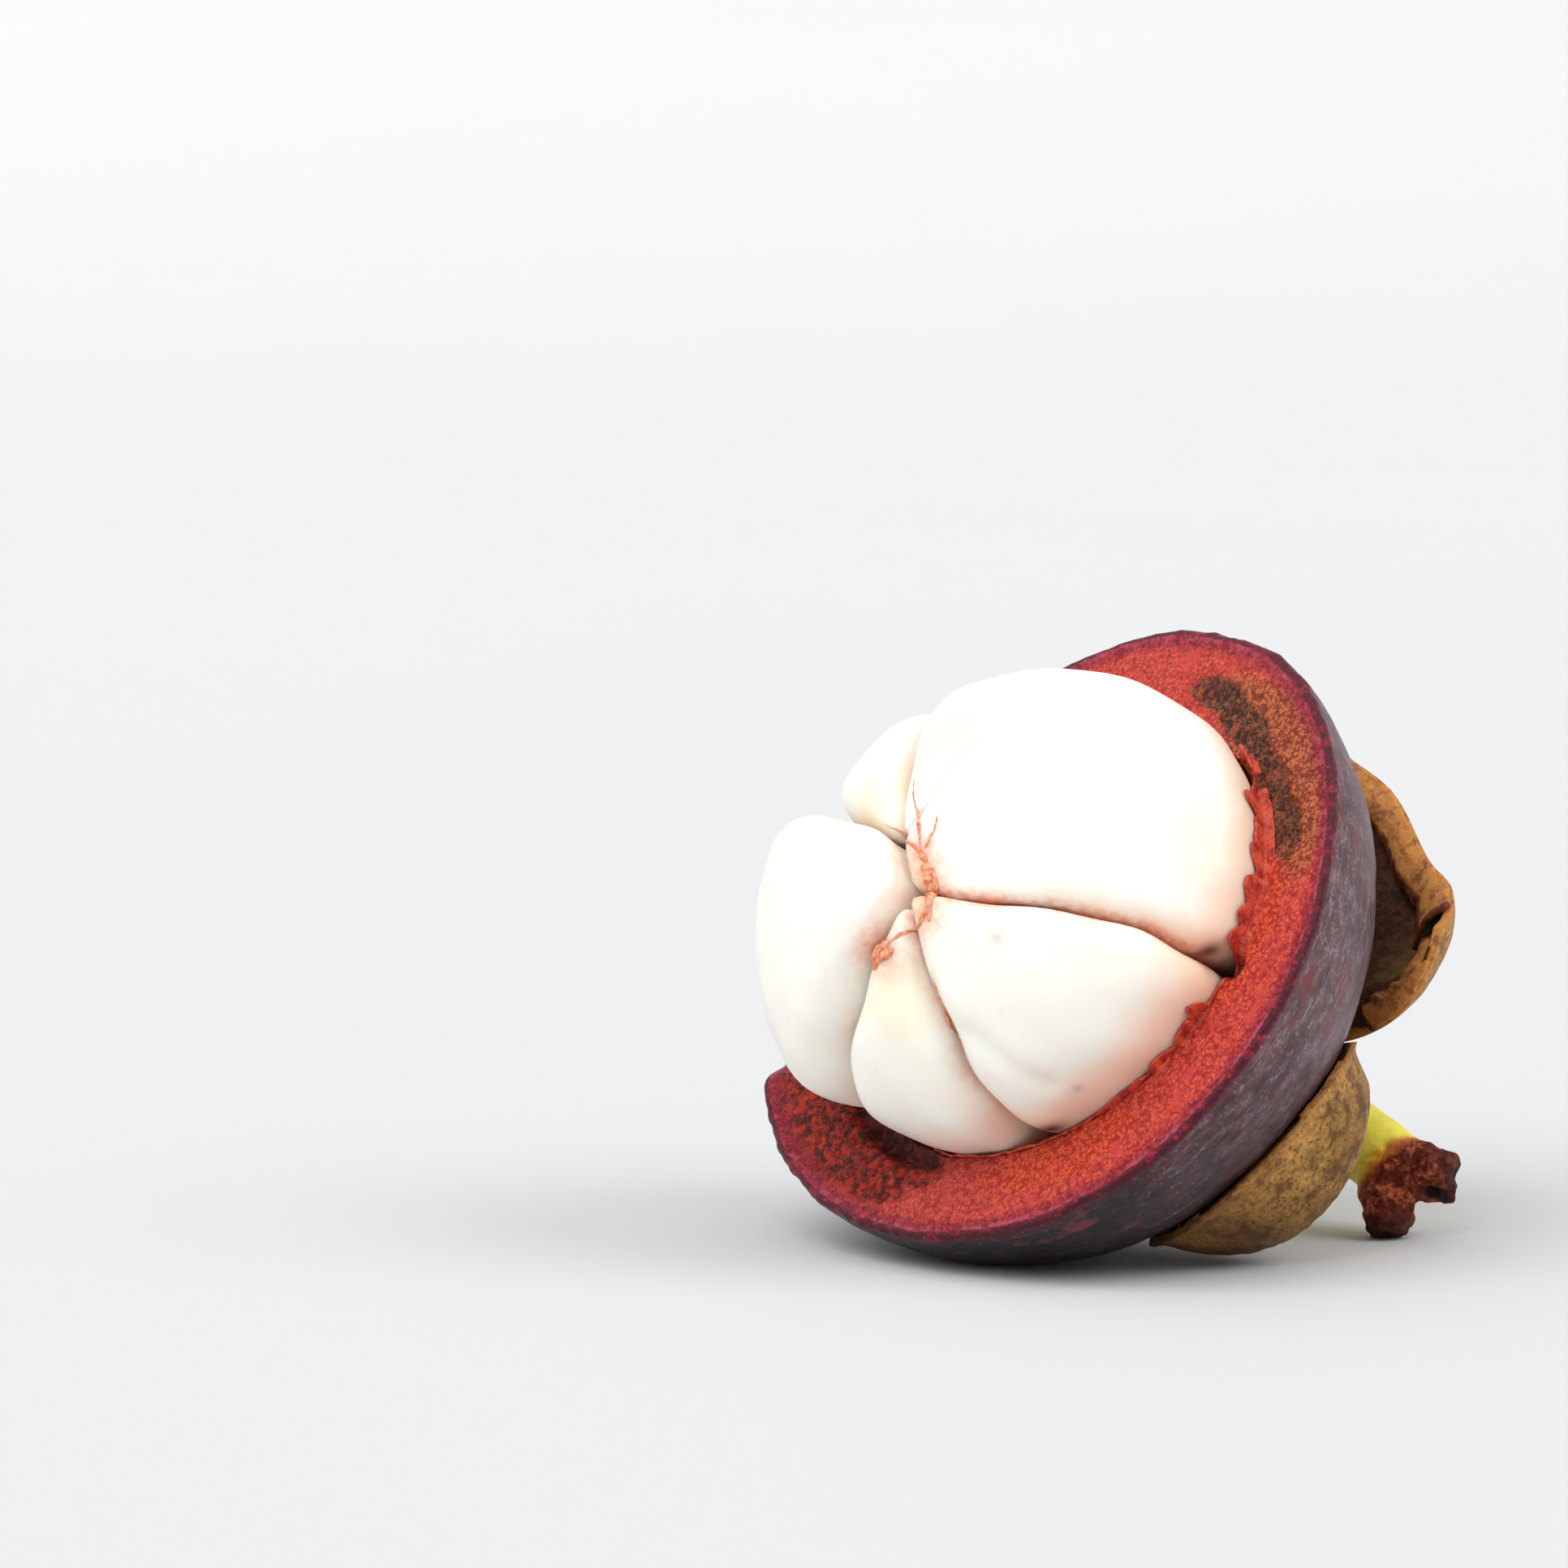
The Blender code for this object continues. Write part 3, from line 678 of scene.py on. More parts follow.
# Around the rind, and the rings of its section: skin, cut, the hollow's mouth and the rest of the hollow.
RIND_TURNS = 480
SKIN_RINGS = 76
CUT_RINGS = 28
MOUTH_RINGS = 10
HOLLOW_RINGS = 14
MOUTH_SWEEP = 0.35

# The rim between skin and cut: its radius and the zone of each of its rings.
RIM_ROUNDING = 0.7 * MM
RIM_ZONES = (0.990, 0.995, 1.000, 1.005)

# Zones of the wall that a change of form covers: the edges across which it comes and goes.
CUT_BAND = ((0.985, 1.02), (2.0, 2.06))
BROKEN_BAND = ((0.80, 0.99), (2.0, 2.6))
RIM_BAND = ((0.93, 0.99), (1.0, 1.12))
INNER_EDGE_BAND = ((1.82, 1.98), (2.0, 2.35))
SKIN_END = 1.0
CUT_END = 1.999

# Heights over the floor over which painted shade lifts off the skin: below them the skin is painted near black without
# wax, above them it has its own colour and wax.
SHADE_LIFT_HEIGHTS = (2.0 * MM, 24.0 * MM)

# Grain of the skin and of the rim: height and size in millimetres, and octaves.
SKIN_GRAIN = ((0.16, 9.0, 3), (0.03, 1.8, 3))
RIM_GRAIN = ((0.14, 1.3, 3), (0.22, 6.0, 2))

# The part of the rim that is broken away: azimuth, half sweeps of its floor and of its slopes, and depth.
BROKEN_AZIMUTH = 122.0
BROKEN_SWEEPS = (16.0, 25.0)
BROKEN_DEPTH = 3.4 * MM

# Patches of the cut: azimuth and half sweep in degrees, middle and half width in millimetres, and strength.
CUT_PATCHES = {
    "bruise": (
        (9.0, 10.0, 26.4, 1.9, 1.0),
        (-4.0, 12.0, 25.3, 2.1, 1.0),
        (-22.0, 15.0, 24.5, 2.0, 1.0),
        (-36.0, 10.0, 25.2, 2.0, 0.9),
    ),
    "rust": ((-19.0, 34.0, 26.6, 4.6, 1.0),),
    "dark": (
        (152.0, 15.0, 29.6, 3.4, 1.0),
        (165.0, 18.0, 28.0, 4.6, 1.0),
        (180.0, 18.0, 26.2, 4.4, 1.0),
        (193.0, 11.0, 24.8, 2.4, 0.7),
    ),
    "ember": ((-9.0, 16.0, 29.4, 1.6, 1.0), (-126.0, 24.0, 25.2, 3.0, 0.75), (-58.0, 30.0, 23.6, 2.2, 1.0)),
    # The hollow patches sink the cut beside the flesh, where it is also darkened by juice and painted shade.
    "hollow": ((171.0, 34.0, 23.2, 2.2, 1.0), (-70.0, 3.5, 22.8, 1.3, 1.0)),
}

# The size of the cut's grain, how high it is, sound and in patches, and how far it sinks there, in millimetres.
CUT_GRAIN = 1.1 * MM
CUT_ROUGHNESS = 0.10
PATCH_ROUGHNESS = {"bruise": 0.16, "dark": 0.34, "rust": 0.10}
HOLLOW_DEPTH = 1.3
PATCH_DEPTH = {"dark": 0.5, "bruise": 0.3, "hollow": HOLLOW_DEPTH}

# The cut's ragged inner edge: the size of its grain, how high it is, and how much higher where the cut is dark.
INNER_EDGE_GRAIN = 1.7 * MM
INNER_EDGE_ROUGHNESS = 0.16 * MM
DARK_EDGE_ROUGHNESS = 0.25 * MM


def ellipse_arc(radius, depth, centre_height, start, end, steps):
    """Points (x, 0, z) of an upright ellipse. Angles run from the bottom pole, in radians."""
    angles = [start + (end - start) * step / steps for step in range(steps + 1)]
    return [Vector((radius * math.sin(angle), 0.0, centre_height - depth * math.cos(angle))) for angle in angles]


def rind_section(rind, flesh):
    """The wall's section as (point, zone): skin 0 to 1, cut 1 to 2, hollow 2 to 3."""
    skin_end = math.pi / 2 - RIM_ROUNDING / rind.depth
    skin = ellipse_arc(rind.radius, rind.depth, 0.0, 0.0, skin_end, SKIN_RINGS)
    section = [(point, index / len(skin)) for index, point in enumerate(skin)]
    for step, zone in enumerate(RIM_ZONES, 1):
        angle = math.pi / 2 * step / len(RIM_ZONES)
        inwards = RIM_ROUNDING * (1.0 - math.cos(angle))
        section.append((Vector((rind.radius - inwards, 0.0, RIM_ROUNDING * (math.sin(angle) - 1.0))), zone))
    hollow_radius = flesh.radius + rind.clearance
    hollow_depth = flesh.half_height + rind.clearance
    mouth = math.acos(flesh.rise / hollow_depth)
    cut_width = rind.radius - RIM_ROUNDING - hollow_radius * math.sin(mouth)
    for step in range(1, CUT_RINGS):
        share = step / CUT_RINGS
        section.append((Vector((rind.radius - RIM_ROUNDING - share * cut_width, 0.0, 0.0)), 1.0 + share))
    below_mouth = mouth - MOUTH_SWEEP
    hollow = ellipse_arc(hollow_radius, hollow_depth, flesh.rise, mouth, below_mouth, MOUTH_RINGS)
    hollow += ellipse_arc(hollow_radius, hollow_depth, flesh.rise, below_mouth, 0.0, HOLLOW_RINGS)[1:]
    return section + [(point, 2.0 + index / len(hollow)) for index, point in enumerate(hollow)]


def patched(kind, azimuth, across):
    """How strongly a kind of patch covers a place on the cut, from 0 to 1."""
    return max(strength * patch(azimuth, across, *oval) for *oval, strength in CUT_PATCHES[kind])


def broken_at(azimuth):
    """How much of the rim is broken away on the far side, from 0 to 1."""
    return 1.0 - float(smooth_step(*BROKEN_SWEEPS, abs(turned_away(azimuth, BROKEN_AZIMUTH))))


def shape_rind(corner, layers, rind):
    """Moves one vertex of the spun wall and sets its masks."""
    zone = corner[layers["zone"]]
    azimuth = math.atan2(corner.co.y, corner.co.x)
    across = math.hypot(corner.co.x, corner.co.y)
    if zone < CUT_END:
        inside_share = min(max(zone - SKIN_END, 0.0), 1.0)
        push = swell_of_rind(azimuth) * (across / rind.radius) ** 3 * (1.0 - inside_share)
        corner.co.xy *= 1.0 + push / max(across, MM)
        across = math.hypot(corner.co.x, corner.co.y)
    patches = {kind: patched(kind, azimuth, across) for kind in CUT_PATCHES}
    here = corner.co.copy()
    if zone < SKIN_END:
        corner.co += here.normalized() * grains(here, SKIN_GRAIN)
    roughness = CUT_ROUGHNESS + sum(extra * patches[kind] for kind, extra in PATCH_ROUGHNESS.items())
    sunk = sum(depth * patches[kind] for kind, depth in PATCH_DEPTH.items())
    on_cut = band(zone, *CUT_BAND)
    corner.co.z += on_cut * (grain(here, CUT_GRAIN, 4) * roughness - sunk) * MM
    corner.co.z -= band(zone, *BROKEN_BAND) * broken_at(azimuth) * BROKEN_DEPTH
    ragged = band(zone, *RIM_BAND) * grains(here, RIM_GRAIN)
    edge_height = INNER_EDGE_ROUGHNESS + DARK_EDGE_ROUGHNESS * patches["dark"]
    ragged += band(zone, *INNER_EDGE_BAND) * edge_height * grain(here, INNER_EDGE_GRAIN)
    corner.co.xy *= 1.0 + ragged / max(across, MM)
    # Height over the floor, below which the skin is painted darker and loses its wax: painted shade.
    corner[layers["upper"]] = float(smooth_step(*SHADE_LIFT_HEIGHTS, (TO_WORLD @ corner.co).z))
    for kind, strength in patches.items():
        corner[layers[kind]] = strength


def make_rind(rind, flesh):
    """Spins the cup, roughens it and leans it over."""
    shape = bmesh.new()
    layers = mask_layers(shape, "zone", "upper", *CUT_PATCHES)
    corners = []
    for point, zone in rind_section(rind, flesh):
        corners.append(shape.verts.new(point))
        corners[-1][layers["zone"]] = zone
    spin_round(shape, corners, RIND_TURNS, MERGE_DISTANCE)
    for corner in shape.verts:
        shape_rind(corner, layers, rind)
    lean_over(shape, 0.0)
    return add_piece("rind_open", shape, RindFinish(rind).whole(), ["rind_cup"])


# --- Flesh -------------------------------------------------------------------------------------------------


def seam_end(name, flesh):
    """Where a seam meets the ball's widest circle."""
    angle = math.radians(SEAMS[name][0])
    return np.array((flesh.radius * math.cos(angle), flesh.radius * math.sin(angle), flesh.rise))


def seam_normal(name, flesh):
    """The unit normal of a seam's plane, pointing to its high-azimuth side."""
    normal = np.cross(SEAMS[name][1] - SEAM_FOOT, seam_end(name, flesh) - SEAM_FOOT)
    return normal / np.linalg.norm(normal)


def beyond_seam(from_foot, name, side, flesh):
    """How far points lie past one side of a seam. Only the grown-together seam has no gap."""
    half_gap = 0.0 if name == GROWN_SEAM else flesh.seam_gap / 2
    return half_gap + side * (from_foot @ seam_normal(name, flesh))


def short_seam_normal():
    """The unit normal of the plane between the two knots, pointing towards +X."""
    normal = np.cross(KNOT_HIGH - SEAM_FOOT, KNOT_LOW - SEAM_FOOT)
    normal /= np.linalg.norm(normal)
    return normal if normal[0] > 0 else -normal


def near_line(points, start, end):
    """Distance of points from a straight line between two points."""
    start, end = np.array(start) * MM, np.array(end) * MM
    along = end - start
    share = np.clip((points - start) @ along / (along @ along), 0.0, 1.0)
    return np.linalg.norm(points - start - share[:, None] * along, axis=1)


# Creases of the flesh: start, end, width and depth, in millimetres.
CREASES = (
    ((-10.2, -12.9, 17.9), (-14.6, -16.4, 10.6), 0.55, 0.45),
    ((-11.4, -17.0, 13.9), (-10.4, -20.6, 6.9), 1.1, 0.45),
    ((-2.2, -5.0, 23.0), (-2.3, 3.4, 23.2), 0.7, 0.35),
    ((-1.9, -5.0, 22.9), (2.6, 1.8, 23.2), 0.6, 0.35),
    ((-1.6, -5.8, 22.9), (1.8, -4.0, 23.1), 0.5, 0.30),
    ((-2.6, -6.6, 22.7), (-4.6, -9.6, 21.5), 0.9, 0.30),
)

# Tinted spots of the flesh: place and radius, in millimetres. Those at the knots tint the seams and the blush.
KNOT_TINTS = (
    ((-2.2, -5.4, 22.9), 1.9),
    ((-3.6, -8.0, 22.2), 2.3),
    ((-6.2, -10.6, 20.6), 1.8),
    ((-11.2, -7.6, 20.1), 2.4),
)
SPOT_TINTS = {
    "cream": (
        ((8.2, 3.7, 22.1), 5.5),
        ((-13.7, -10.2, 17.6), 4.5),
        ((15.0, -16.5, 10.0), 4.5),
        ((-2.5, 5.0, 23.1), 5.0),
    ),
    "spot": (((-2.2, 4.3, 23.1), 0.45), ((-3.4, -16.2, 18.0), 0.6), ((-9.0, -21.5, 4.5), 0.5)),
    # Two pits where seams meet the rind, painted near black as shade.
    "pit": (((7.3, -20.9, 2.2), 1.3), ((-13.3, -18.4, 1.2), 1.4)),
}

# How far from a seam its tint and its blush reach, and where the two knots lie, near which the seams are tighter.
TINT_FADE = (-0.9 * MM, -0.1 * MM)
NEAR_SEAM_FADE = (-4.0 * MM, -0.3 * MM)
KNOTS_X, KNOTS_Y = -3.4 * MM, -6.0 * MM
KNOTS_REACH = (3.0 * MM, 13.0 * MM)

# Blush: at the cut all around, more of it on the open side, beside the seams, and over the lower half.
AT_CUT_FADE = (-1.0 * MM, 9.5 * MM)
LOWER_HALF_FADE = (2.0 * MM, 16.0 * MM)
OPEN_SIDE, OPEN_SIDE_FADE = -70.0, (35.0, 75.0)
BLUSH_AT_CUT, BLUSH_OPEN_SIDE, BLUSH_AT_SEAM, BLUSH_LOWER_HALF = 0.25, 0.65, 0.28, 0.32

DENT_DEPTH = 0.07 * MM
CENTRE_FROM_HUB = 11.0 * MM
SHORT_SEAM_ROUNDING = 1.2 * MM
BALL_SUBDIVISIONS = 6
HALVINGS = 24


def wavy(points):
    """Bends the seams a little, so that they aren't flat."""
    x, y, z = (points / MM).T
    shift = np.stack(
        (
            0.35 * np.sin(0.31 * z + 0.9) + 0.15 * np.sin(0.7 * z + 0.4 * y),
            0.35 * np.sin(0.27 * z + 2.1) + 0.15 * np.sin(0.6 * z + 0.5 * x),
            0.25 * np.sin(0.25 * x + 0.33 * y),
        ),
        axis=1,
    )
    fade = smooth_step(-6.0, 6.0, z)[:, None]
    return points + shift * fade * MM


def compass(points):
    """Azimuths of points, in degrees."""
    return np.degrees(np.arctan2(points[:, 1], points[:, 0]))


def swell_of(segment, points):
    """How far a segment swells out of the ball. The two that have grown together share one slope."""
    if segment not in GROWN_SEAM.split("_"):
        return SEGMENTS[segment][3]
    share = smooth_step(-25.0, 45.0, np.abs(compass(points) + 20.0) - 20.0)
    return SEGMENTS["a"][3] + (SEGMENTS["f"][3] - SEGMENTS["a"][3]) * share


def segment_distance(points, segment, flesh):
    """Below zero inside a segment of the ball. Also gives how near a seam is and how strongly it is tinted."""
    low, high, side, _ = SEGMENTS[segment]
    across = np.hypot(points[:, 0], points[:, 1]) / flesh.radius
    along = (points[:, 2] - flesh.rise) / flesh.half_height
    distance = (np.hypot(across, along) - 1.0) * math.sqrt(flesh.radius * flesh.half_height)
    distance = distance - swell_of(segment, points) * smooth_step(1.0 * MM, 10.0 * MM, points[:, 2])
    x, y, z = (points / MM).T
    dents = np.sin(0.83 * x + 0.4 * z) * np.sin(0.77 * y + 0.9) + np.sin(0.5 * z - 0.63 * x + y * 0.3)
    distance = distance + DENT_DEPTH * dents
    for start, end, width, depth in CREASES:
        distance = distance + depth * MM * np.exp(-((near_line(points, start, end) / (width * MM)) ** 2))
    from_foot = wavy(points) - SEAM_FOOT
    from_knots = np.hypot(points[:, 0] - KNOTS_X, points[:, 1] - KNOTS_Y)
    tightness = 0.35 + 0.65 * smooth_step(*KNOTS_REACH, from_knots)
    near_seam, tint = 0.0, 0.0
    for seam, turn in ((low, -1), (high, 1)):
        rounding, strength = SEAMS[seam][2:]
        beyond = beyond_seam(from_foot, seam, turn, flesh)
        near_seam = np.maximum(near_seam, min(1.0, 2 * strength) * smooth_step(*NEAR_SEAM_FADE, beyond))
        tint = np.maximum(tint, strength * smooth_step(*TINT_FADE, beyond))
        distance = smooth_max(distance, beyond, rounding * tightness)
    if side:
        beyond_short = flesh.seam_gap / 2 - side * (from_foot @ short_seam_normal())
        distance = smooth_max(distance, beyond_short, SHORT_SEAM_ROUNDING)
    return distance, near_seam, tint


def tinted(points, tints):
    """1 at the middle of each spot of tint, fading out to 0 around it."""
    places = [(np.linalg.norm(points - np.array(place) * MM, axis=1), radius * MM) for place, radius in tints]
    return np.clip(sum(np.exp(-((away / radius) ** 2)) for away, radius in places), 0.0, 1.0)


def segment_centre(segment, flesh):
    """A point well inside a segment, half way between its seams."""
    low, high = SEGMENTS[segment][:2]
    sweep = math.radians((SEAMS[high][0] - SEAMS[low][0]) % 360)
    middle = math.radians(SEAMS[low][0]) + sweep / 2
    share = (flesh.rise - SEAM_FOOT[2]) / (KNOT_LOW[2] - SEAM_FOOT[2])
    hub = SEAM_FOOT + share * ((KNOT_LOW + KNOT_HIGH) / 2 - SEAM_FOOT)
    return hub + CENTRE_FROM_HUB * np.array((math.cos(middle), math.sin(middle), 0.0))


def flesh_masks(points, segment, flesh):
    """The masks of a segment's surface: its seams, its blush and its tinted spots."""
    _, near_seam, tint = segment_distance(points, segment, flesh)
    at_cut = 1.0 - smooth_step(*AT_CUT_FADE, points[:, 2])
    lower_half = 1.0 - smooth_step(*LOWER_HALF_FADE, points[:, 2])
    open_side = 1.0 - smooth_step(*OPEN_SIDE_FADE, np.abs(compass(points) - OPEN_SIDE))
    blushes = at_cut * (BLUSH_AT_CUT + BLUSH_OPEN_SIDE * open_side)
    blushes += BLUSH_AT_SEAM * near_seam + BLUSH_LOWER_HALF * lower_half
    knots = tinted(points, KNOT_TINTS)
    masks = {"seam": np.clip(tint + 0.75 * knots, 0.0, 1.0), "blush": np.clip(blushes + 0.8 * knots, 0.0, 1.0)}
    masks.update({name: tinted(points, spots) for name, spots in SPOT_TINTS.items()})
    return masks


def make_segment(segment, flesh, material):
    """Swells a round ball until it meets the segment's surface."""
    shape = bmesh.new()
    layers = mask_layers(shape, "seam", "blush", *SPOT_TINTS)
    bmesh.ops.create_icosphere(shape, subdivisions=BALL_SUBDIVISIONS, radius=1.0)
    directions = np.array([corner.co for corner in shape.verts])
    directions /= np.linalg.norm(directions, axis=1, keepdims=True)
    centre = segment_centre(segment, flesh)
    near = np.zeros(len(directions))
    far = np.full(len(directions), 2 * flesh.radius)
    for _ in range(HALVINGS):
        middle = (near + far) / 2
        inside = segment_distance(centre + middle[:, None] * directions, segment, flesh)[0] < 0
        near = np.where(inside, middle, near)
        far = np.where(inside, far, middle)
    points = centre + near[:, None] * directions
    masks = flesh_masks(points, segment, flesh)
    for index, corner in enumerate(shape.verts):
        corner.co = points[index]
        for name, values in masks.items():
            corner[layers[name]] = values[index]
    lean_over(shape)
    return add_piece("segment_" + segment, shape, material, ["aril_" + segment])


# Fibres: their path in the fruit frame in millimetres, and their radius at the two ends.
FIBRES = (
    (((-3.2, -7.6, 22.3), (-4.0, -9.0, 21.8), (-5.2, -10.2, 21.1), (-6.2, -11.0, 20.5)), 0.26, 0.36),
    (((-3.9, -8.2, 22.0), (-4.9, -9.8, 21.2), (-5.9, -10.4, 20.8)), 0.42, 0.24),
    (((-5.0, -9.8, 21.1), (-6.9, -10.3, 20.7), (-9.3, -8.6, 20.6), (-10.8, -7.7, 20.2)), 0.16, 0.24),
    (((-9.8, -8.4, 20.5), (-11.2, -7.4, 20.1), (-12.8, -6.6, 19.5)), 0.64, 0.46),
    (((-9.9, -9.0, 20.2), (-11.3, -8.1, 19.8), (-12.6, -7.5, 19.3)), 0.46, 0.40),
    (
        ((-9.6, -12.7, 18.3), (-11.0, -13.6, 17.1), (-12.4, -14.9, 15.2), (-13.7, -16.0, 12.6), (-14.5, -16.5, 10.9)),
        0.10,
        0.20,
    ),
    (((-2.2, -5.6, 22.9), (-2.2, -3.3, 23.2), (-2.2, -0.6, 23.4), (-2.6, 2.2, 23.3)), 0.22, 0.04),
    (((-2.0, -5.6, 22.9), (-0.5, -3.6, 23.3), (1.0, -1.2, 23.5), (2.8, 2.2, 23.3)), 0.20, 0.04),
    (((-1.6, -5.9, 22.9), (0.2, -5.3, 23.0), (1.5, -4.3, 23.1)), 0.22, 0.04),
    (((-2.0, -5.2, 23.0), (-2.4, -6.3, 22.7), (-2.5, -7.0, 22.5)), 0.34, 0.12),
    (((-2.7, -6.6, 22.6), (-3.2, -7.6, 22.3), (-3.9, -8.6, 21.9)), 0.30, 0.52),
    (((-2.6, -7.6, 22.4), (-3.2, -8.6, 22.0), (-4.2, -9.6, 21.5)), 0.30, 0.34),
)

# Fibres that lie along a seam: which one, from and to what share of the way out, and their radius at the ends.
SEAM_FIBRES = (("e_a", 0.0, 0.42, 0.24, 0.05), ("e_a", 0.80, 1.0, 0.06, 0.20), ("d_e", 0.30, 0.62, 0.26, 0.09))

# Lumps of a fibre's thickness and how far it wanders: share or height, and size.
FIBRE_LUMPS = (0.7, 1.8 * MM)
FIBRE_WANDER = (0.14 * MM, 1.5 * MM)
FIBRE_ROUGHNESS = (0.10 * MM, 0.5 * MM)
FIBRE_SUNK = 0.3
FIBRE_SIDES = 8
FIBRE_STEPS = 9
SEAM_FIBRE_STEPS = 24
SETTLING_ROUNDS = 10


def seam_path(seam, start, end, flesh):
    """Points near a seam, from a share of the way out to another."""
    knot = SEAMS[seam][1]
    shares = np.linspace(start, end, SEAM_FIBRE_STEPS)[:, None]
    line = knot + (seam_end(seam, flesh) - knot) * shares
    return SEAM_FOOT + (line - SEAM_FOOT) * (1.0 + 0.35 * shares * (1.0 - shares))


def ring_edges(ring):
    """The edges that join the vertices of a ring."""
    touching = {edge for corner in ring for edge in corner.link_edges}
    return [edge for edge in touching if all(corner in ring for corner in edge.verts)]


def sweep(shape, stations, sides):
    """Joins rings around a path of (point, radius) into a closed tube."""
    rings = []
    heading, turn = Vector((0.0, 0.0, 1.0)), Quaternion()
    for index, (point, radius) in enumerate(stations):
        ahead = stations[min(index + 1, len(stations) - 1)][0] - stations[max(index - 1, 0)][0]
        turn = heading.rotation_difference(ahead) @ turn
        heading = ahead
        ring = bmesh.ops.create_circle(
            shape,
            cap_ends=index in (0, len(stations) - 1),
            segments=sides,
            radius=radius,
            matrix=Matrix.Translation(point) @ turn.to_matrix().to_4x4(),
        )
        rings.append(ring["verts"])
    for first, second in zip(rings, rings[1:]):
        bmesh.ops.bridge_loops(shape, edges=ring_edges(first) + ring_edges(second))


def settle_on_flesh(points, flesh):
    """Moves points straight in or out until they lie on the flesh."""
    centre = np.array((0.0, 0.0, flesh.rise))
    for _ in range(SETTLING_ROUNDS):
        nearest = np.min([segment_distance(points, name, flesh)[0] for name in SEGMENTS], axis=0)
        outward = points - centre
        outward /= np.linalg.norm(outward, axis=1, keepdims=True)
        points = points - nearest[:, None] * outward
    return points


def fibre_lines(flesh):
    """The paths of all fibres, as (points, radius at the start, radius at the end)."""
    lines = []
    for path, *radii in FIBRES:
        knots = [Vector(point) * MM for point in path]
        line = []
        for first, second in zip(knots, knots[1:]):
            handles = (first.lerp(second, 0.33), first.lerp(second, 0.67))
            line += interpolate_bezier(first, *handles, second, FIBRE_STEPS)[:-1]
        line.append(knots[-1])
        lines.append((np.array([point[:] for point in line]), *radii))
    for seam, start, end, *radii in SEAM_FIBRES:
        lines.append((seam_path(seam, start, end, flesh), *radii))
    return lines


def make_fibres(flesh):
    """Lays threads of the rind's lining into the seams of the flesh."""
    shape = bmesh.new()
    (lumps, lump_size), (wandering, wander_size), (height, size) = FIBRE_LUMPS, FIBRE_WANDER, FIBRE_ROUGHNESS
    for number, (line, start_radius, end_radius) in enumerate(fibre_lines(flesh)):
        stations = []
        for index, place in enumerate(settle_on_flesh(line, flesh)):
            point = Vector(place)
            share = index / (len(line) - 1)
            radius = (start_radius + (end_radius - start_radius) * share) * MM
            radius *= max(0.5, 1.0 + lumps * grain(point + Vector((number * MM, 0, 0)), lump_size))
            taper = math.sqrt(min(1.0, 6.0 * min(share, 1.0 - share) + 0.08))
            wander = Vector((grain(point, wander_size), grain(point * 1.3, wander_size), 0.0)) * wandering
            sunk = point.normalized() * radius * FIBRE_SUNK
            stations.append((point + wander - sunk, radius * taper))
        sweep(shape, stations, FIBRE_SIDES)
    for corner in shape.verts:
        corner.co += height * grain(corner.co, size) * corner.co.normalized()
    lean_over(shape)
    return add_piece("fibres", shape, fibre_finish(flesh))


LINING_COLUMNS = 900
LINING_ROWS = 16
LINING_THICKNESS = 0.22 * MM

# Tongues of the lining: azimuth, half width in degrees and height over the cut in millimetres.
TONGUES = (
    (-13.6, 2.0, 2.2),
    (-16.4, 1.8, 1.5),
    (-25.5, 3.6, 1.6),
    (-30.0, 2.6, 2.3),
    (-37.0, 6.5, 1.8),
    (-44.0, 4.0, 2.3),
    (-52.5, 6.5, 2.1),
    (-58.5, 3.2, 2.6),
    (-64.5, 4.0, 1.8),
    (-83.0, 2.4, 2.3),
    (-88.0, 4.0, 1.0),
    (-96.0, 3.5, 0.9),
    (-107.0, 6.0, 0.5),
)

# How ragged the tongues are: share of their height, and size in radians. Then the climb between them.
TONGUE_GRAIN = ((0.6, 0.11), (0.12, 0.05))
LOWEST_CLIMB = 0.12

# The tongues that stand off the flesh: azimuth and half width in degrees, and how far they do.
LOOSE_TONGUES = (-15.0, 4.5, 0.9 * MM)

# How far below the cut the lining starts, between the tongues and under them, and how it stands off the flesh:
# everywhere, more at the foot, and most at the foot of a tongue.
FOOT_BETWEEN_TONGUES = 0.8 * MM
FOOT_UNDER_TONGUES = 0.22 * MM
STANDOFF, FOOT_STANDOFF, TONGUE_STANDOFF = 0.12 * MM, 0.30 * MM, 1.1 * MM

# The climbs between which a tongue forms, the share of it that lies on the cut, and where it bends upwards.
TONGUE_CLIMB = (0.3 * MM, 1.1 * MM)
TONGUE_FLAT = 0.3
TONGUE_BEND = (0.15, 0.45)

# Lumps of the lining: height and size in millimetres, and octaves, and how deep they may go. Then how much further
# it sinks where the cut is hollow.
LINING_LUMPS = ((0.22, 1.4, 2),)
DEEPEST_LUMP = -0.1 * MM
HOLLOW_EXTRA = 0.3


def lining_climb(azimuth):
    """How far the lining climbs over the flesh above the cut."""
    height = max(reach * math.exp(-(abs(turned_away(azimuth, centre) / half) ** 3)) for centre, half, reach in TONGUES)
    ring = Vector((math.cos(azimuth), math.sin(azimuth), 0.0))
    height *= 1.0 + sum(share * grain(ring, size, 2) for share, size in TONGUE_GRAIN)
    return (LOWEST_CLIMB + max(0.0, height)) * MM


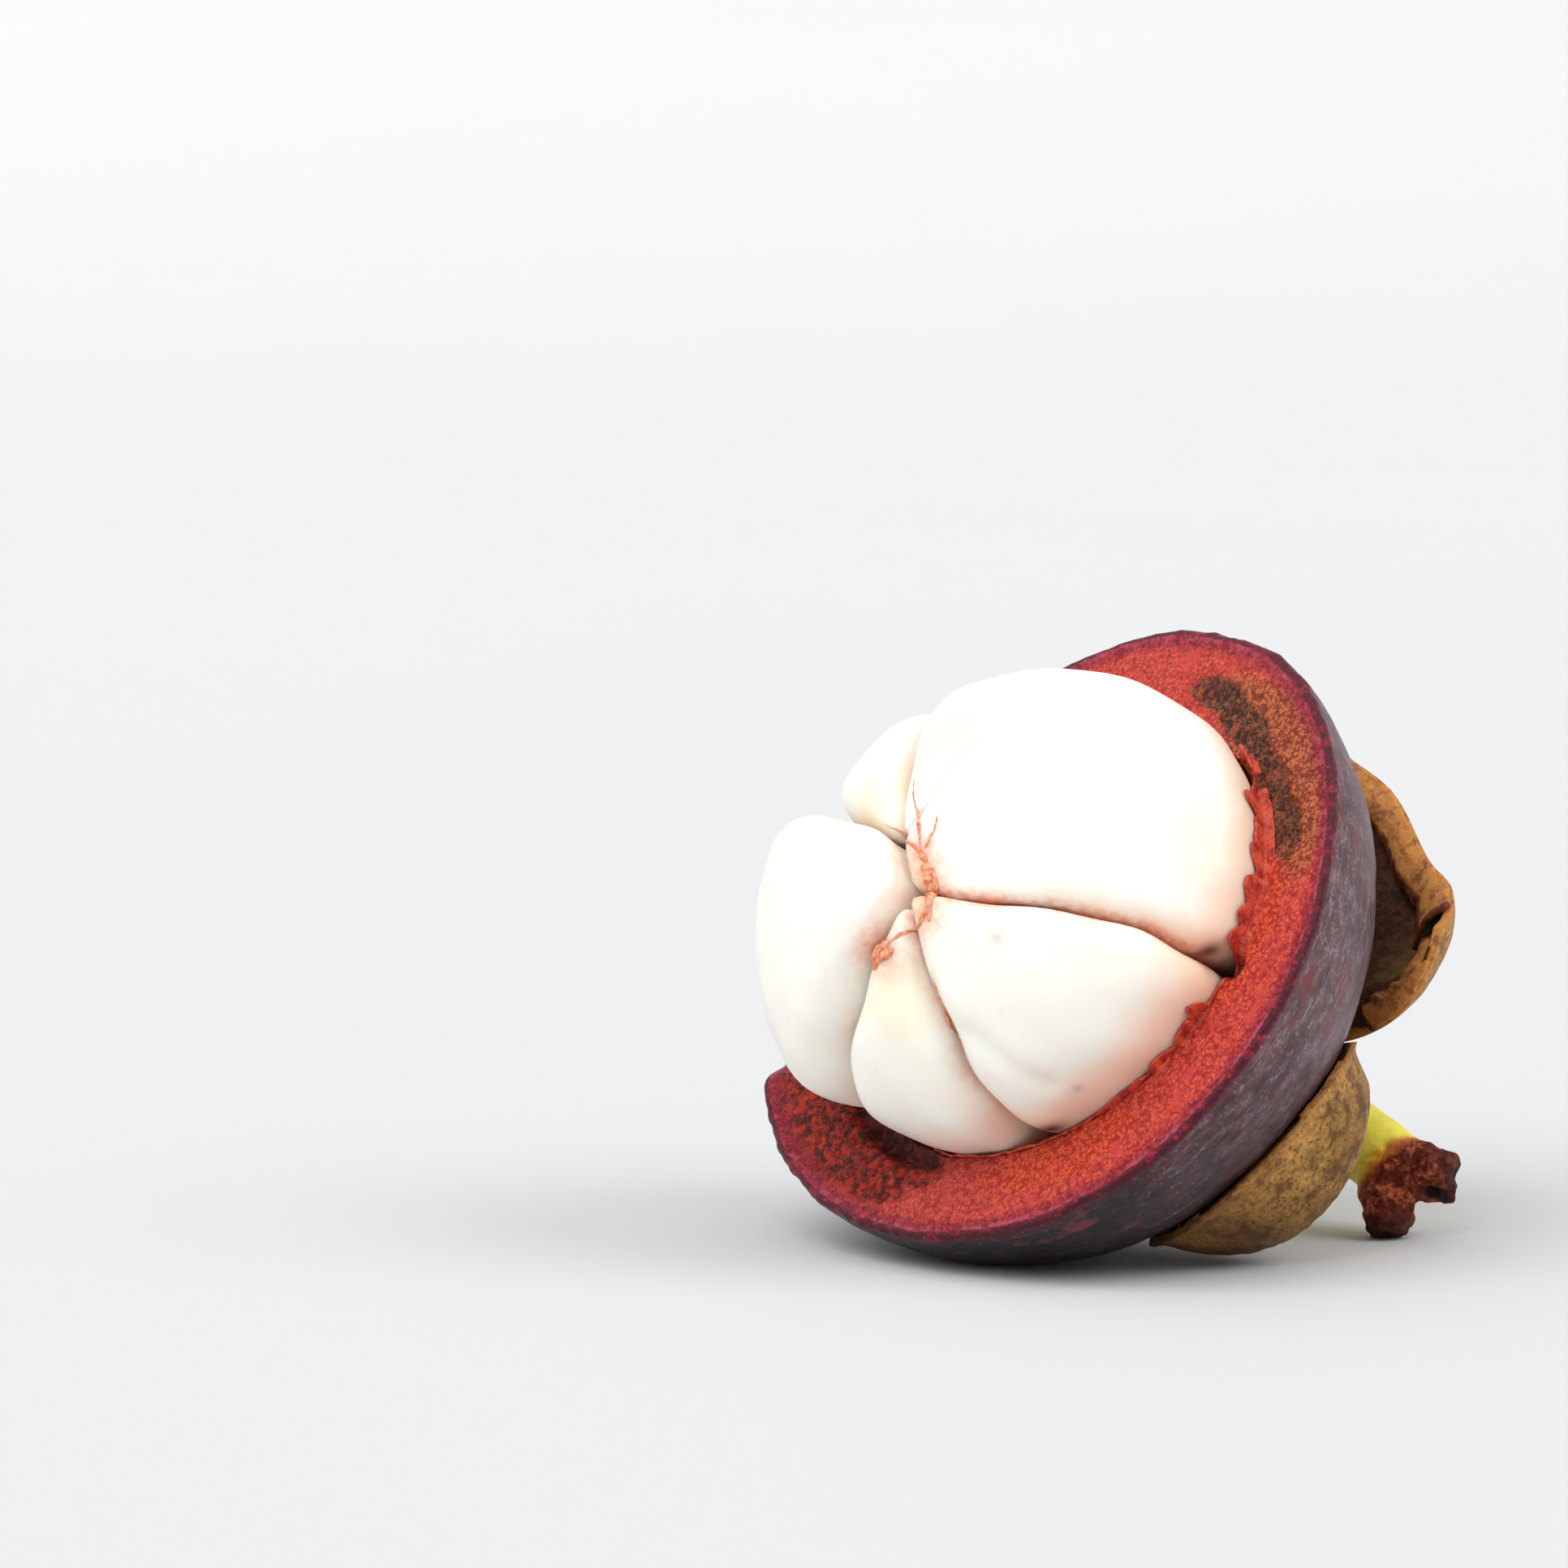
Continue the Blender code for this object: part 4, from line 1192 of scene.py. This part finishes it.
def lining_point(azimuth, share, flesh):
    """A point of the lining, a share of the way from its foot to its ragged edge."""
    climb = lining_climb(azimuth)
    on_cut = float(smooth_step(*TONGUE_CLIMB, climb))
    upwards = float(smooth_step(*TONGUE_BEND, share))
    foot = -FOOT_BETWEEN_TONGUES * (1.0 - on_cut) - FOOT_UNDER_TONGUES * on_cut
    flat_share = TONGUE_FLAT * on_cut
    height = foot + (climb - foot) * max(0.0, (share - flat_share) / (1.0 - flat_share))
    height -= broken_at(azimuth) * BROKEN_DEPTH
    height -= patched("hollow", azimuth, flesh.radius) * (HOLLOW_DEPTH + HOLLOW_EXTRA) * MM
    angle = math.acos(max(-1.0, min(1.0, (height - flesh.rise) / flesh.half_height)))
    standoff = STANDOFF + FOOT_STANDOFF * (1.0 - share) + TONGUE_STANDOFF * on_cut * (1.0 - upwards)
    loose, half_width, loosened = LOOSE_TONGUES
    standoff += loosened * share * math.exp(-((turned_away(azimuth, loose) / half_width) ** 4))
    radius = flesh.radius * math.sin(angle) + standoff
    point = Vector((radius * math.cos(azimuth), radius * math.sin(azimuth), height))
    lumps = max(grains(point, LINING_LUMPS), DEEPEST_LUMP)
    return point + lumps * Vector((math.cos(azimuth), math.sin(azimuth), 0.9 * on_cut))


def make_lining(flesh):
    """A thin ragged collar that climbs from the cut's inner edge over the flesh."""
    shape = bmesh.new()
    bmesh.ops.create_grid(shape, x_segments=LINING_COLUMNS, y_segments=LINING_ROWS, size=1.0)
    for corner in shape.verts:
        corner.co = lining_point(corner.co.x * math.pi, (corner.co.y + 1.0) / 2, flesh)
    bmesh.ops.remove_doubles(shape, verts=shape.verts, dist=MERGE_DISTANCE)
    lean_over(shape)
    shape.normal_update()
    normals = {corner: corner.normal.copy() for corner in shape.verts}
    bmesh.ops.extrude_face_region(shape, geom=shape.faces[:], use_keep_orig=True)
    for corner, normal in normals.items():
        corner.co += normal * LINING_THICKNESS
    bmesh.ops.recalc_face_normals(shape, faces=shape.faces)
    return add_piece("lining", shape, lining_finish())


# --- Sepals ------------------------------------------------------------------------------------------------


SEPAL_CELLS = 96

# How round the outline of a sepal is, from 0 for a square on, and how thick its lip is, as a share of the rest.
SEPAL_ROUNDNESS = 0.42
LOWER_ROUNDNESS = 0.49
LIP_THICKNESS = 0.55

# How far each sepal's lip closes onto the skin, from 0 to 1.
SEPAL_HUG = {"upper": 0.0, "lower": 1.0, "back_upper": 0.5, "back_lower": 0.5}

# Where a lip closes: near the sepal's margin and away from its base. Then the gap that it keeps to the skin.
HUG_MARGIN = (0.84, 1.0)
HUG_ALONG = (-0.7, 0.1)
LIP_GAP = 0.25 * MM

# Wrinkles: how often across and along a sepal, their height, and how much of it is lost towards the lip.
WRINKLE_RATE = (9.0, 2.5)
WRINKLE_HEIGHT = 0.12
LIP_SMOOTHING, SMOOTHED_MARGIN = 0.08, (0.7, 1.0)

# Where a sepal thins towards its lip, where its dry hem is, and how strong that is on the lower sepal.
THINNED_MARGIN = (0.55, 1.0)
HEM_MARGIN = (0.90, 0.99)
LOWER_HEM = 0.4

# Where the inner face is olive, across and along. Where the outside is painted darker near the floor as shade, and how
# much of the hem's colour that painted shade takes away.
OLIVE_ACROSS = (0.05, 0.85)
OLIVE_ALONG = (0.9, 0.0)
SHADE_NEAR_FLOOR_FADE = (11.0 * MM, 1.0 * MM)
HEM_LOST_IN_SHADE = 0.9

# Waves of the upper sepal's rim: how far it is pushed out as a share of its reach, where across it and how wide.
UPPER_WAVES = ((0.030, 0.65, 0.30), (-0.030, 0.05, 0.30), (0.012, -0.80, 0.20))

# Folded-in flaps of the upper sepal's lip, as (u, v) points along the free edge and along the fold: one along its
# rim and one along its low side.
FLAPS = (
    (
        ((-0.58, 0.46), (-0.32, 0.62), (-0.06, 0.72), (0.26, 0.80), (0.60, 0.88), (0.92, 0.985)),
        ((-0.78, 1.0), (-0.40, 1.0), (-0.02, 1.0), (0.32, 1.0), (0.68, 1.0), (0.97, 1.0)),
    ),
    (
        ((-0.82, 0.54), (-0.78, 0.28), (-0.72, 0.02), (-0.62, -0.18), (-0.85, -0.36)),
        ((-0.95, 0.92), (-1.0, 0.60), (-1.0, 0.30), (-1.0, -0.02), (-1.0, -0.38)),
    ),
)
FLAP_CELLS = (64, 14)
FLAP_THICKNESS = 0.45 * MM

# Where a flap starts and ends, over the inner face, how far the fold reaches out, and how the flap bulges between.
FREE_EDGE_LIFT = 0.35 * MM
FOLD_LIFT = -1.0 * MM
FOLD_OUTWARDS = 0.25 * MM
FLAP_BULGE = 0.9
FLAP_LUMPS = 0.25
FLAP_RAGGED = 0.5 * MM

# Its lumps and ragged edge: how often along and across it. Its dark edge of crust and painted shade: how soon the ends
# count, and the fade.
FLAP_RATE = (9.0, 3.0)
FLAP_ENDS = 8.0
FLAP_TORN_FADE = (0.0, 0.55)

# The step in (u, v) over which an inner face's slope is taken, and the furthest out that it is.
NUDGE = 0.02
NUDGE_LIMIT = 0.97

# Torn crust and painted shade beside the low flap: steps along its free edge, and from where to where they fade, in
# (u, v).
TORN_STEPS = 16
TORN_FADE = (0.10, 0.30)

# The sepals and the stem stay this far above the floor, on which only the rind rests.
LOWEST = 0.02 * MM


def height_clear_of_skin(azimuth, radius, standoff, rind):
    """The height of the outside of a layer that stands off the skin by so much, below the fruit's widest circle."""
    widest = rind.radius + swell_of_rind(azimuth) * (radius / rind.radius) ** 2 + standoff
    share = max(1.0 - (radius / widest) ** 2, 0.0)
    return -(rind.depth + standoff) * math.sqrt(share)


def sepal_point(sepal, u, v, rind, sepals):
    """A sepal's outer face. u runs across it and v from its base to its rim, both from -1 to 1."""
    azimuth, half_widths, reach, lifts, curl = SEPALS[sepal]
    low, middle, high = (lift * MM for lift in lifts)
    half_width = (half_widths[0] if u < 0 else half_widths[1]) * MM
    roundness = LOWER_ROUNDNESS if sepal == "lower" else SEPAL_ROUNDNESS
    disc_u = u * math.sqrt(1.0 - roundness * v * v)
    disc_v = v * math.sqrt(1.0 - roundness * u * u)
    share = (disc_v + 1.0) / 2
    waist = 0.5 + 0.5 * math.sin(math.pi / 2 * min(1.0, 1.5 * share))
    along = sepals.base + (reach * MM - sepals.base) * share
    across = half_width * disc_u * waist
    if sepal == "upper":
        along *= 1.0 + sum(rise * math.exp(-(((u - place) / width) ** 2)) for rise, place, width in UPPER_WAVES)
    lift = middle + (high - low) / 2 * disc_u + ((high + low) / 2 - middle) * disc_u * disc_u
    radius = math.hypot(along, across)
    lip = curl * MM * share * (disc_u * disc_u + disc_v * disc_v) ** 3
    height = lift * (radius / rind.radius) ** 2 + lip - sepals.level
    turned = math.radians(azimuth) + math.atan2(across, along)
    height = min(height, height_clear_of_skin(turned, radius, sepals.thickness + sepals.clearance, rind))
    closed = SEPAL_HUG[sepal] * float(smooth_step(*HUG_MARGIN, max(abs(u), v)) * smooth_step(*HUG_ALONG, v))
    touching = height_clear_of_skin(turned, radius, sepals.thickness * LIP_THICKNESS + LIP_GAP, rind)
    height += closed * (touching - height)
    return Vector((radius * math.cos(turned), radius * math.sin(turned), height))


def inner_point(sepal, u, v, lift, rind, sepals):
    """A point that floats over a sepal's inner face by so much."""
    u_inside, v_inside = (max(-NUDGE_LIMIT, min(NUDGE_LIMIT, place)) for place in (u, v))

    def change(u_nudge, v_nudge):
        ahead = sepal_point(sepal, u_inside + u_nudge, v_inside + v_nudge, rind, sepals)
        return ahead - sepal_point(sepal, u_inside - u_nudge, v_inside - v_nudge, rind, sepals)

    inwards = change(0.0, NUDGE).cross(change(NUDGE, 0.0)).normalized()
    return sepal_point(sepal, u, v, rind, sepals) + inwards * (sepals.thickness + lift)


def between(line, share):
    """A place a share of the way through a list of (u, v) points."""
    steps = share * (len(line) - 1)
    index = min(int(steps), len(line) - 2)
    return Vector(line[index]).lerp(Vector(line[index + 1]), steps - index)


def add_flap(shape, layers, sepal, free_edge, fold, rind, sepals):
    """Folds a strip of lip inwards over a sepal's inner face."""
    columns, rows = FLAP_CELLS
    grid = bmesh.ops.create_grid(shape, x_segments=columns, y_segments=rows, size=1.0)["verts"]
    for corner in grid:
        share, across = (corner.co.x + 1.0) / 2, (corner.co.y + 1.0) / 2
        u_free, v_free = between(free_edge, share)
        u_fold, v_fold = between(fold, share)
        free_point = inner_point(sepal, u_free, v_free, FREE_EDGE_LIFT, rind, sepals)
        fold_point = inner_point(sepal, u_fold, v_fold, FOLD_LIFT, rind, sepals)
        inwards = (free_point - fold_point).normalized()
        fold_point -= inwards * FOLD_OUTWARDS
        upwards = inner_point(sepal, u_free, v_free, FREE_EDGE_LIFT + MM, rind, sepals) - free_point
        ragged = FLAP_RAGGED * grain((share * FLAP_RATE[0], 1.0 + v_fold, 0.0), 1.0, 4) * (1.0 - across)
        bulge = FLAP_BULGE * math.sin(math.pi * (0.15 + 0.85 * across))
        bulge += FLAP_LUMPS * grain((share * FLAP_RATE[0], across * FLAP_RATE[1], 2.0), 1.0)
        corner.co = free_point.lerp(fold_point, across) + inwards * ragged + upwards.normalized() * bulge * MM
        ends = min(share, 1.0 - share) * FLAP_ENDS
        corner[layers["hem"]] = 1.0
        corner[layers["inner"]] = 1.0
        corner[layers["crust_and_shade"]] = 1.0 - float(smooth_step(*FLAP_TORN_FADE, min(across, ends)))
    faces = {face for corner in grid for face in corner.link_faces}
    edges = {edge for face in faces for edge in face.edges}
    shape.normal_update()
    bmesh.ops.solidify(shape, geom=list(grid) + list(edges) + list(faces), thickness=FLAP_THICKNESS)


def bend_sepal(shape, layers, sepal, rind, sepals):
    """Bends a flat grid into a sepal's outer face and sets the masks that follow its outline."""
    for corner in shape.verts:
        u, v = corner.co.x, corner.co.y
        margin = max(abs(u), v)
        wrinkle = grain((u * WRINKLE_RATE[0], v * WRINKLE_RATE[1], 3.0 + len(sepal)), 1.0, 4)
        wrinkle *= WRINKLE_HEIGHT - LIP_SMOOTHING * float(smooth_step(*SMOOTHED_MARGIN, margin))
        point = sepal_point(sepal, u, v, rind, sepals)
        corner.co = point + point.normalized() * wrinkle * MM
        corner[layers["margin"]] = margin
        corner[layers["hem"]] = float(smooth_step(*HEM_MARGIN, margin)) * (LOWER_HEM if sepal == "lower" else 1.0)
        corner[layers["olive_base"]] = float(smooth_step(*OLIVE_ACROSS, -u) * smooth_step(*OLIVE_ALONG, v))
        # Dark crust with painted shade beside the low flap's free edge.
        if sepal == "upper":
            free_edge = (between(FLAPS[1][0], step / TORN_STEPS) for step in range(TORN_STEPS + 1))
            beside = min((Vector((u, v)) - place).length for place in free_edge)
            corner[layers["crust_and_shade"]] = 1.0 - float(smooth_step(*TORN_FADE, beside))


def make_sepal(sepal, rind, sepals, material):
    """Bends a fine grid into a cupped sepal, thickens it, thins its lip and folds in its flaps."""
    shape = bmesh.new()
    layers = mask_layers(shape, "margin", "hem", "inner", "olive_base", "crust_and_shade", "shade_near_floor")
    bmesh.ops.create_grid(shape, x_segments=SEPAL_CELLS, y_segments=SEPAL_CELLS, size=1.0)
    bend_sepal(shape, layers, sepal, rind, sepals)
    shape.normal_update()
    outer = set(shape.verts)
    whole = list(shape.verts) + list(shape.edges) + list(shape.faces)
    bmesh.ops.solidify(shape, geom=whole, thickness=sepals.thickness)
    shape.normal_update()
    for corner in shape.verts:
        if corner in outer:
            corner[layers["crust_and_shade"]] = 0.0
        else:
            corner[layers["inner"]] = 1.0
            thinned = (1.0 - LIP_THICKNESS) * float(smooth_step(*THINNED_MARGIN, corner[layers["margin"]]))
            corner.co -= corner.normal * sepals.thickness * thinned
    if sepal == "upper":
        for free_edge, fold in FLAPS:
            add_flap(shape, layers, sepal, free_edge, fold, rind, sepals)
    lean_over(shape, LOWEST)
    # Painted shade near the floor darkens the outside and takes away the hem's colour.
    for corner in shape.verts:
        shade_near_floor = float(smooth_step(*SHADE_NEAR_FLOOR_FADE, corner.co.z))
        corner[layers["shade_near_floor"]] = shade_near_floor
        corner[layers["hem"]] *= 1.0 - HEM_LOST_IN_SHADE * shade_near_floor
    return add_piece("sepal_leaf_" + sepal, shape, material, ["sepal_" + sepal])


# --- Stem --------------------------------------------------------------------------------------------------


# The broad disc at the stem's root, as (depth, radius) in millimetres, and its gap to the rind.
DISC_STATIONS = ((0.0, 6.3), (1.1, 6.3), (1.9, 5.4), (2.6, 4.5), (3.2, 3.9))
DISC_GAP = 0.35

# The rest is in millimetres from the fruit's centre, along the world's axes. The stem's bend: two handles and its
# end. Its two snapped stubs: four points each, and their radii.
STEM_BEND = ((20.8, 18.2, -16.9), (27.2, 14.8, -19.4), (32.2, 9.2, -23.6))
STUBS = (
    ((30.4, 9.6, -22.2), (33.2, 9.0, -22.8), (35.8, 8.5, -23.3), (36.5, 8.3, -23.4), (2.7, 2.6, 2.5, 1.8)),
    ((30.2, 9.8, -22.4), (30.3, 8.8, -24.9), (30.6, 8.1, -27.7), (30.7, 7.9, -28.5), (2.8, 2.5, 2.3, 1.5)),
)
SNAP_START = (30.8, 9.6, -22.6)
# The pit under the upper stub, painted near black as shade.
SHADED_PIT_PLACE = (34.9, 7.2, -25.2)

# Where the stem turns crumbly past its snap, where its ends go near black with dark scar and painted shade, how wide
# the painted-shade pit is and how far the olive tint of the root reaches, in millimetres.
CRUMBLY_FADE = (-2.4, 2.4)
DARK_END_FADE = (3.6, 6.6)
PIT_FADE = (0.9, 1.9)
ROOT_FADE = (3.5, 9.5)
DARK_END_STRENGTH = 0.62

# Its grain, crumbly and smooth: height and size in millimetres, and octaves. Then the depth of the pit.
CRUMBS = ((0.62, 2.2, 3),)
SMOOTH_GRAIN = ((0.05, 2.0, 3),)
PIT_DEPTH = 0.7 * MM

STEM_SIDES = 28
STUB_SIDES = 20
BEND_STEPS = 14
STEM_FLARE = 0.5 * MM
MELT_SIZE = 0.25 * MM


def from_centre(place):
    """A place in millimetres from the fruit's centre, in the world."""
    return FRUIT_CENTRE + Vector(place) * MM


def melted(shape):
    """Grows the overlapping tubes of a bmesh together into one skin."""
    rough_mesh = bpy.data.meshes.new("stem_rough")
    shape.to_mesh(rough_mesh)
    shape.free()
    rough = bpy.data.objects.new("stem_rough", rough_mesh)
    bpy.context.scene.collection.objects.link(rough)
    melt = rough.modifiers.new("melt", "REMESH")
    melt.mode = "VOXEL"
    melt.voxel_size = MELT_SIZE
    grown = bpy.data.meshes.new_from_object(rough.evaluated_get(bpy.context.evaluated_depsgraph_get()))
    bpy.data.objects.remove(rough, do_unlink=True)
    shape = bmesh.new()
    shape.from_mesh(grown)
    return shape


def crumble(shape, root, way):
    """Roughens the stem past the point where it snapped, and sets its masks."""
    layers = mask_layers(shape, "snapped", "tip", "root")
    shape.normal_update()
    bmesh.ops.smooth_vert(shape, verts=shape.verts, factor=0.5, use_axis_x=True, use_axis_y=True, use_axis_z=True)
    snap, black = from_centre(SNAP_START), from_centre(SHADED_PIT_PLACE)
    for corner in shape.verts:
        crumbly = float(smooth_step(*CRUMBLY_FADE, (corner.co - snap).dot(way) / MM))
        pit = float(1.0 - smooth_step(*PIT_FADE, (corner.co - black).length / MM))
        dark_end = float(smooth_step(*DARK_END_FADE, (corner.co - snap).length / MM)) * crumbly
        corner[layers["snapped"]] = crumbly
        # This mask paints shade in the pit and, together with dark scar, on the ends.
        corner[layers["tip"]] = max(pit, DARK_END_STRENGTH * dark_end)
        corner[layers["root"]] = float(1.0 - smooth_step(*ROOT_FADE, (corner.co - root).length / MM))
        lift = grains(corner.co, CRUMBS) * crumbly + grains(corner.co, SMOOTH_GRAIN) - PIT_DEPTH * pit
        corner.co += corner.normal * lift
        corner.co.z = max(corner.co.z, LOWEST)


def make_stem(rind, stem):
    """Sweeps the bent stem, melts its snapped end onto it and crumbles that end."""
    shape = bmesh.new()
    stations = []
    for depth, radius in DISC_STATIONS:
        height = -(rind.depth + (DISC_GAP + depth) * MM)
        stations.append((TO_WORLD @ Vector((0.0, 0.0, height)), radius * MM))
    root = stations.pop()[0]
    bend = [from_centre(place) for place in STEM_BEND]
    for point in interpolate_bezier(root, *bend, BEND_STEPS):
        share = (point - root).length / (bend[-1] - root).length
        stations.append((point, stem.radius + STEM_FLARE * (1.0 - share) ** 3))
    sweep(shape, stations, STEM_SIDES)
    for *places, radii in STUBS:
        sweep(shape, [(from_centre(place), radius * MM) for place, radius in zip(places, radii)], STUB_SIDES)
    bmesh.ops.recalc_face_normals(shape, faces=shape.faces)
    shape = melted(shape)
    crumble(shape, root, (bend[2] - bend[1]).normalized())
    return add_piece("stem_stub", shape, stem_finish(stem), ["stem"])


# --- Stage -------------------------------------------------------------------------------------------------


# The cove's section: distance from the middle and height, in metres.
COVE_SECTION = ((0.0, 0.0), (1.6, 0.0), (2.2, 0.02), (2.6, 0.12), (2.85, 0.32), (3.0, 0.6), (3.05, 1.4))
COVE_TURNS = 96

# The suns: how wide each looks, in degrees, and where it stands.
KEY_SUN = (50.0, (-0.50, -0.65, 0.95))
SIDE_SUN = (40.0, (0.80, -0.30, 0.66))

# The camera stands this many degrees above the fruit's centre, and its axis points this far down and to the left.
CAMERA_RISE = 7.0
CAMERA_DOWN = 5.8212
CAMERA_LEFT = 2.1637


def make_cove(stage):
    """Spins the floor and the low wall that it curves up into."""
    shape = bmesh.new()
    corners = [shape.verts.new((distance, 0.0, height)) for distance, height in COVE_SECTION]
    spin_round(shape, corners, COVE_TURNS, MM)
    bmesh.ops.recalc_face_normals(shape, faces=shape.faces)
    add_object("cove", shape, floor_finish(stage))


def add_sun(name, strength, angle, towards):
    """A soft distant light that shines from a direction."""
    data = bpy.data.lights.new(name, "SUN")
    data.energy = strength
    data.angle = math.radians(angle)
    light = bpy.data.objects.new(name, data)
    light.rotation_euler = Vector(towards).to_track_quat("Z", "Y").to_euler()
    bpy.context.scene.collection.objects.link(light)


def add_surroundings(scene, strength):
    """Even white light from all around."""
    world = bpy.data.worlds.new("surroundings")
    world.use_nodes = True
    background = world.node_tree.nodes["Background"]
    background.inputs["Strength"].default_value = strength
    background.inputs["Color"].default_value = (1.0, 1.0, 1.0, 1.0)
    scene.world = world
    scene.view_settings.view_transform = "Standard"


def add_camera(scene, lens, distance):
    """The camera, in front of the fruit and a little above it."""
    data = bpy.data.cameras.new("camera")
    data.lens = lens
    camera = bpy.data.objects.new("camera", data)
    rise = math.radians(CAMERA_RISE)
    camera.location = FRUIT_CENTRE + distance * Vector((0.0, -math.cos(rise), math.sin(rise)))
    camera.rotation_euler = (math.radians(90.0 - CAMERA_DOWN), 0.0, math.radians(CAMERA_LEFT))
    scene.collection.objects.link(camera)
    scene.camera = camera


# --- Operators ---------------------------------------------------------------------------------------------


class MANGOSTEEN_OT_rind(bpy.types.Operator):
    """Builds the open rind and its ragged lining"""

    bl_idname = "mangosteen.rind"
    bl_label = "Rind"

    def execute(self, context):
        scene = context.scene
        make_rind(scene.mangosteen_rind, scene.mangosteen_flesh)
        make_lining(scene.mangosteen_flesh)
        return {"FINISHED"}


class MANGOSTEEN_OT_segments(bpy.types.Operator):
    """Builds the six white segments"""

    bl_idname = "mangosteen.segments"
    bl_label = "Segments"

    def execute(self, context):
        flesh = context.scene.mangosteen_flesh
        material = flesh_finish(flesh)
        for segment in SEGMENTS:
            make_segment(segment, flesh, material)
        return {"FINISHED"}


class MANGOSTEEN_OT_fibres(bpy.types.Operator):
    """Lays the orange-red fibres into the seams"""

    bl_idname = "mangosteen.fibres"
    bl_label = "Fibres"

    def execute(self, context):
        make_fibres(context.scene.mangosteen_flesh)
        return {"FINISHED"}


class MANGOSTEEN_OT_sepals(bpy.types.Operator):
    """Builds the four leathery sepals"""

    bl_idname = "mangosteen.sepals"
    bl_label = "Sepals"

    def execute(self, context):
        scene = context.scene
        material = sepal_finish(scene.mangosteen_sepals)
        for sepal in SEPALS:
            make_sepal(sepal, scene.mangosteen_rind, scene.mangosteen_sepals, material)
        return {"FINISHED"}


class MANGOSTEEN_OT_stem(bpy.types.Operator):
    """Builds the bent stem with its snapped end"""

    bl_idname = "mangosteen.stem"
    bl_label = "Stem"

    def execute(self, context):
        make_stem(context.scene.mangosteen_rind, context.scene.mangosteen_stem)
        return {"FINISHED"}


class MANGOSTEEN_OT_stage(bpy.types.Operator):
    """Sets up the pale floor and cove, the soft lights and the camera"""

    bl_idname = "mangosteen.stage"
    bl_label = "Stage"

    def execute(self, context):
        stage = context.scene.mangosteen_stage
        make_cove(stage)
        add_sun("key", stage.key_strength, *KEY_SUN)
        add_sun("side", stage.side_strength, *SIDE_SUN)
        add_surroundings(context.scene, stage.sky)
        add_camera(context.scene, stage.lens, stage.distance)
        return {"FINISHED"}


STEPS = (
    MANGOSTEEN_OT_rind,
    MANGOSTEEN_OT_segments,
    MANGOSTEEN_OT_fibres,
    MANGOSTEEN_OT_sepals,
    MANGOSTEEN_OT_stem,
    MANGOSTEEN_OT_stage,
)


class MANGOSTEEN_PT_panel(bpy.types.Panel):
    """Lists the pieces and their settings"""

    bl_label = "Mangosteen"
    bl_space_type = "VIEW_3D"
    bl_region_type = "UI"
    bl_category = "Mangosteen"

    def draw(self, context):
        for step in STEPS:
            self.layout.operator(step.bl_idname)
        for name, group in SETTINGS.items():
            box = self.layout.box()
            for value in group.__annotations__:
                box.prop(getattr(context.scene, name), value)


def register():
    """Registers the settings, the operators and the panel."""
    for name, group in SETTINGS.items():
        bpy.utils.register_class(group)
        setattr(bpy.types.Scene, name, PointerProperty(type=group))
    for item in (*STEPS, MANGOSTEEN_PT_panel):
        bpy.utils.register_class(item)


def unregister():
    """Takes back what register() added."""
    for item in reversed((*STEPS, MANGOSTEEN_PT_panel)):
        bpy.utils.unregister_class(item)
    for name, group in SETTINGS.items():
        delattr(bpy.types.Scene, name)
        bpy.utils.unregister_class(group)


def main():
    """Builds everything in order."""
    register()
    bpy.ops.mangosteen.rind()
    bpy.ops.mangosteen.segments()
    bpy.ops.mangosteen.fibres()
    bpy.ops.mangosteen.sepals()
    bpy.ops.mangosteen.stem()
    bpy.ops.mangosteen.stage()


if __name__ == "__main__":
    main()
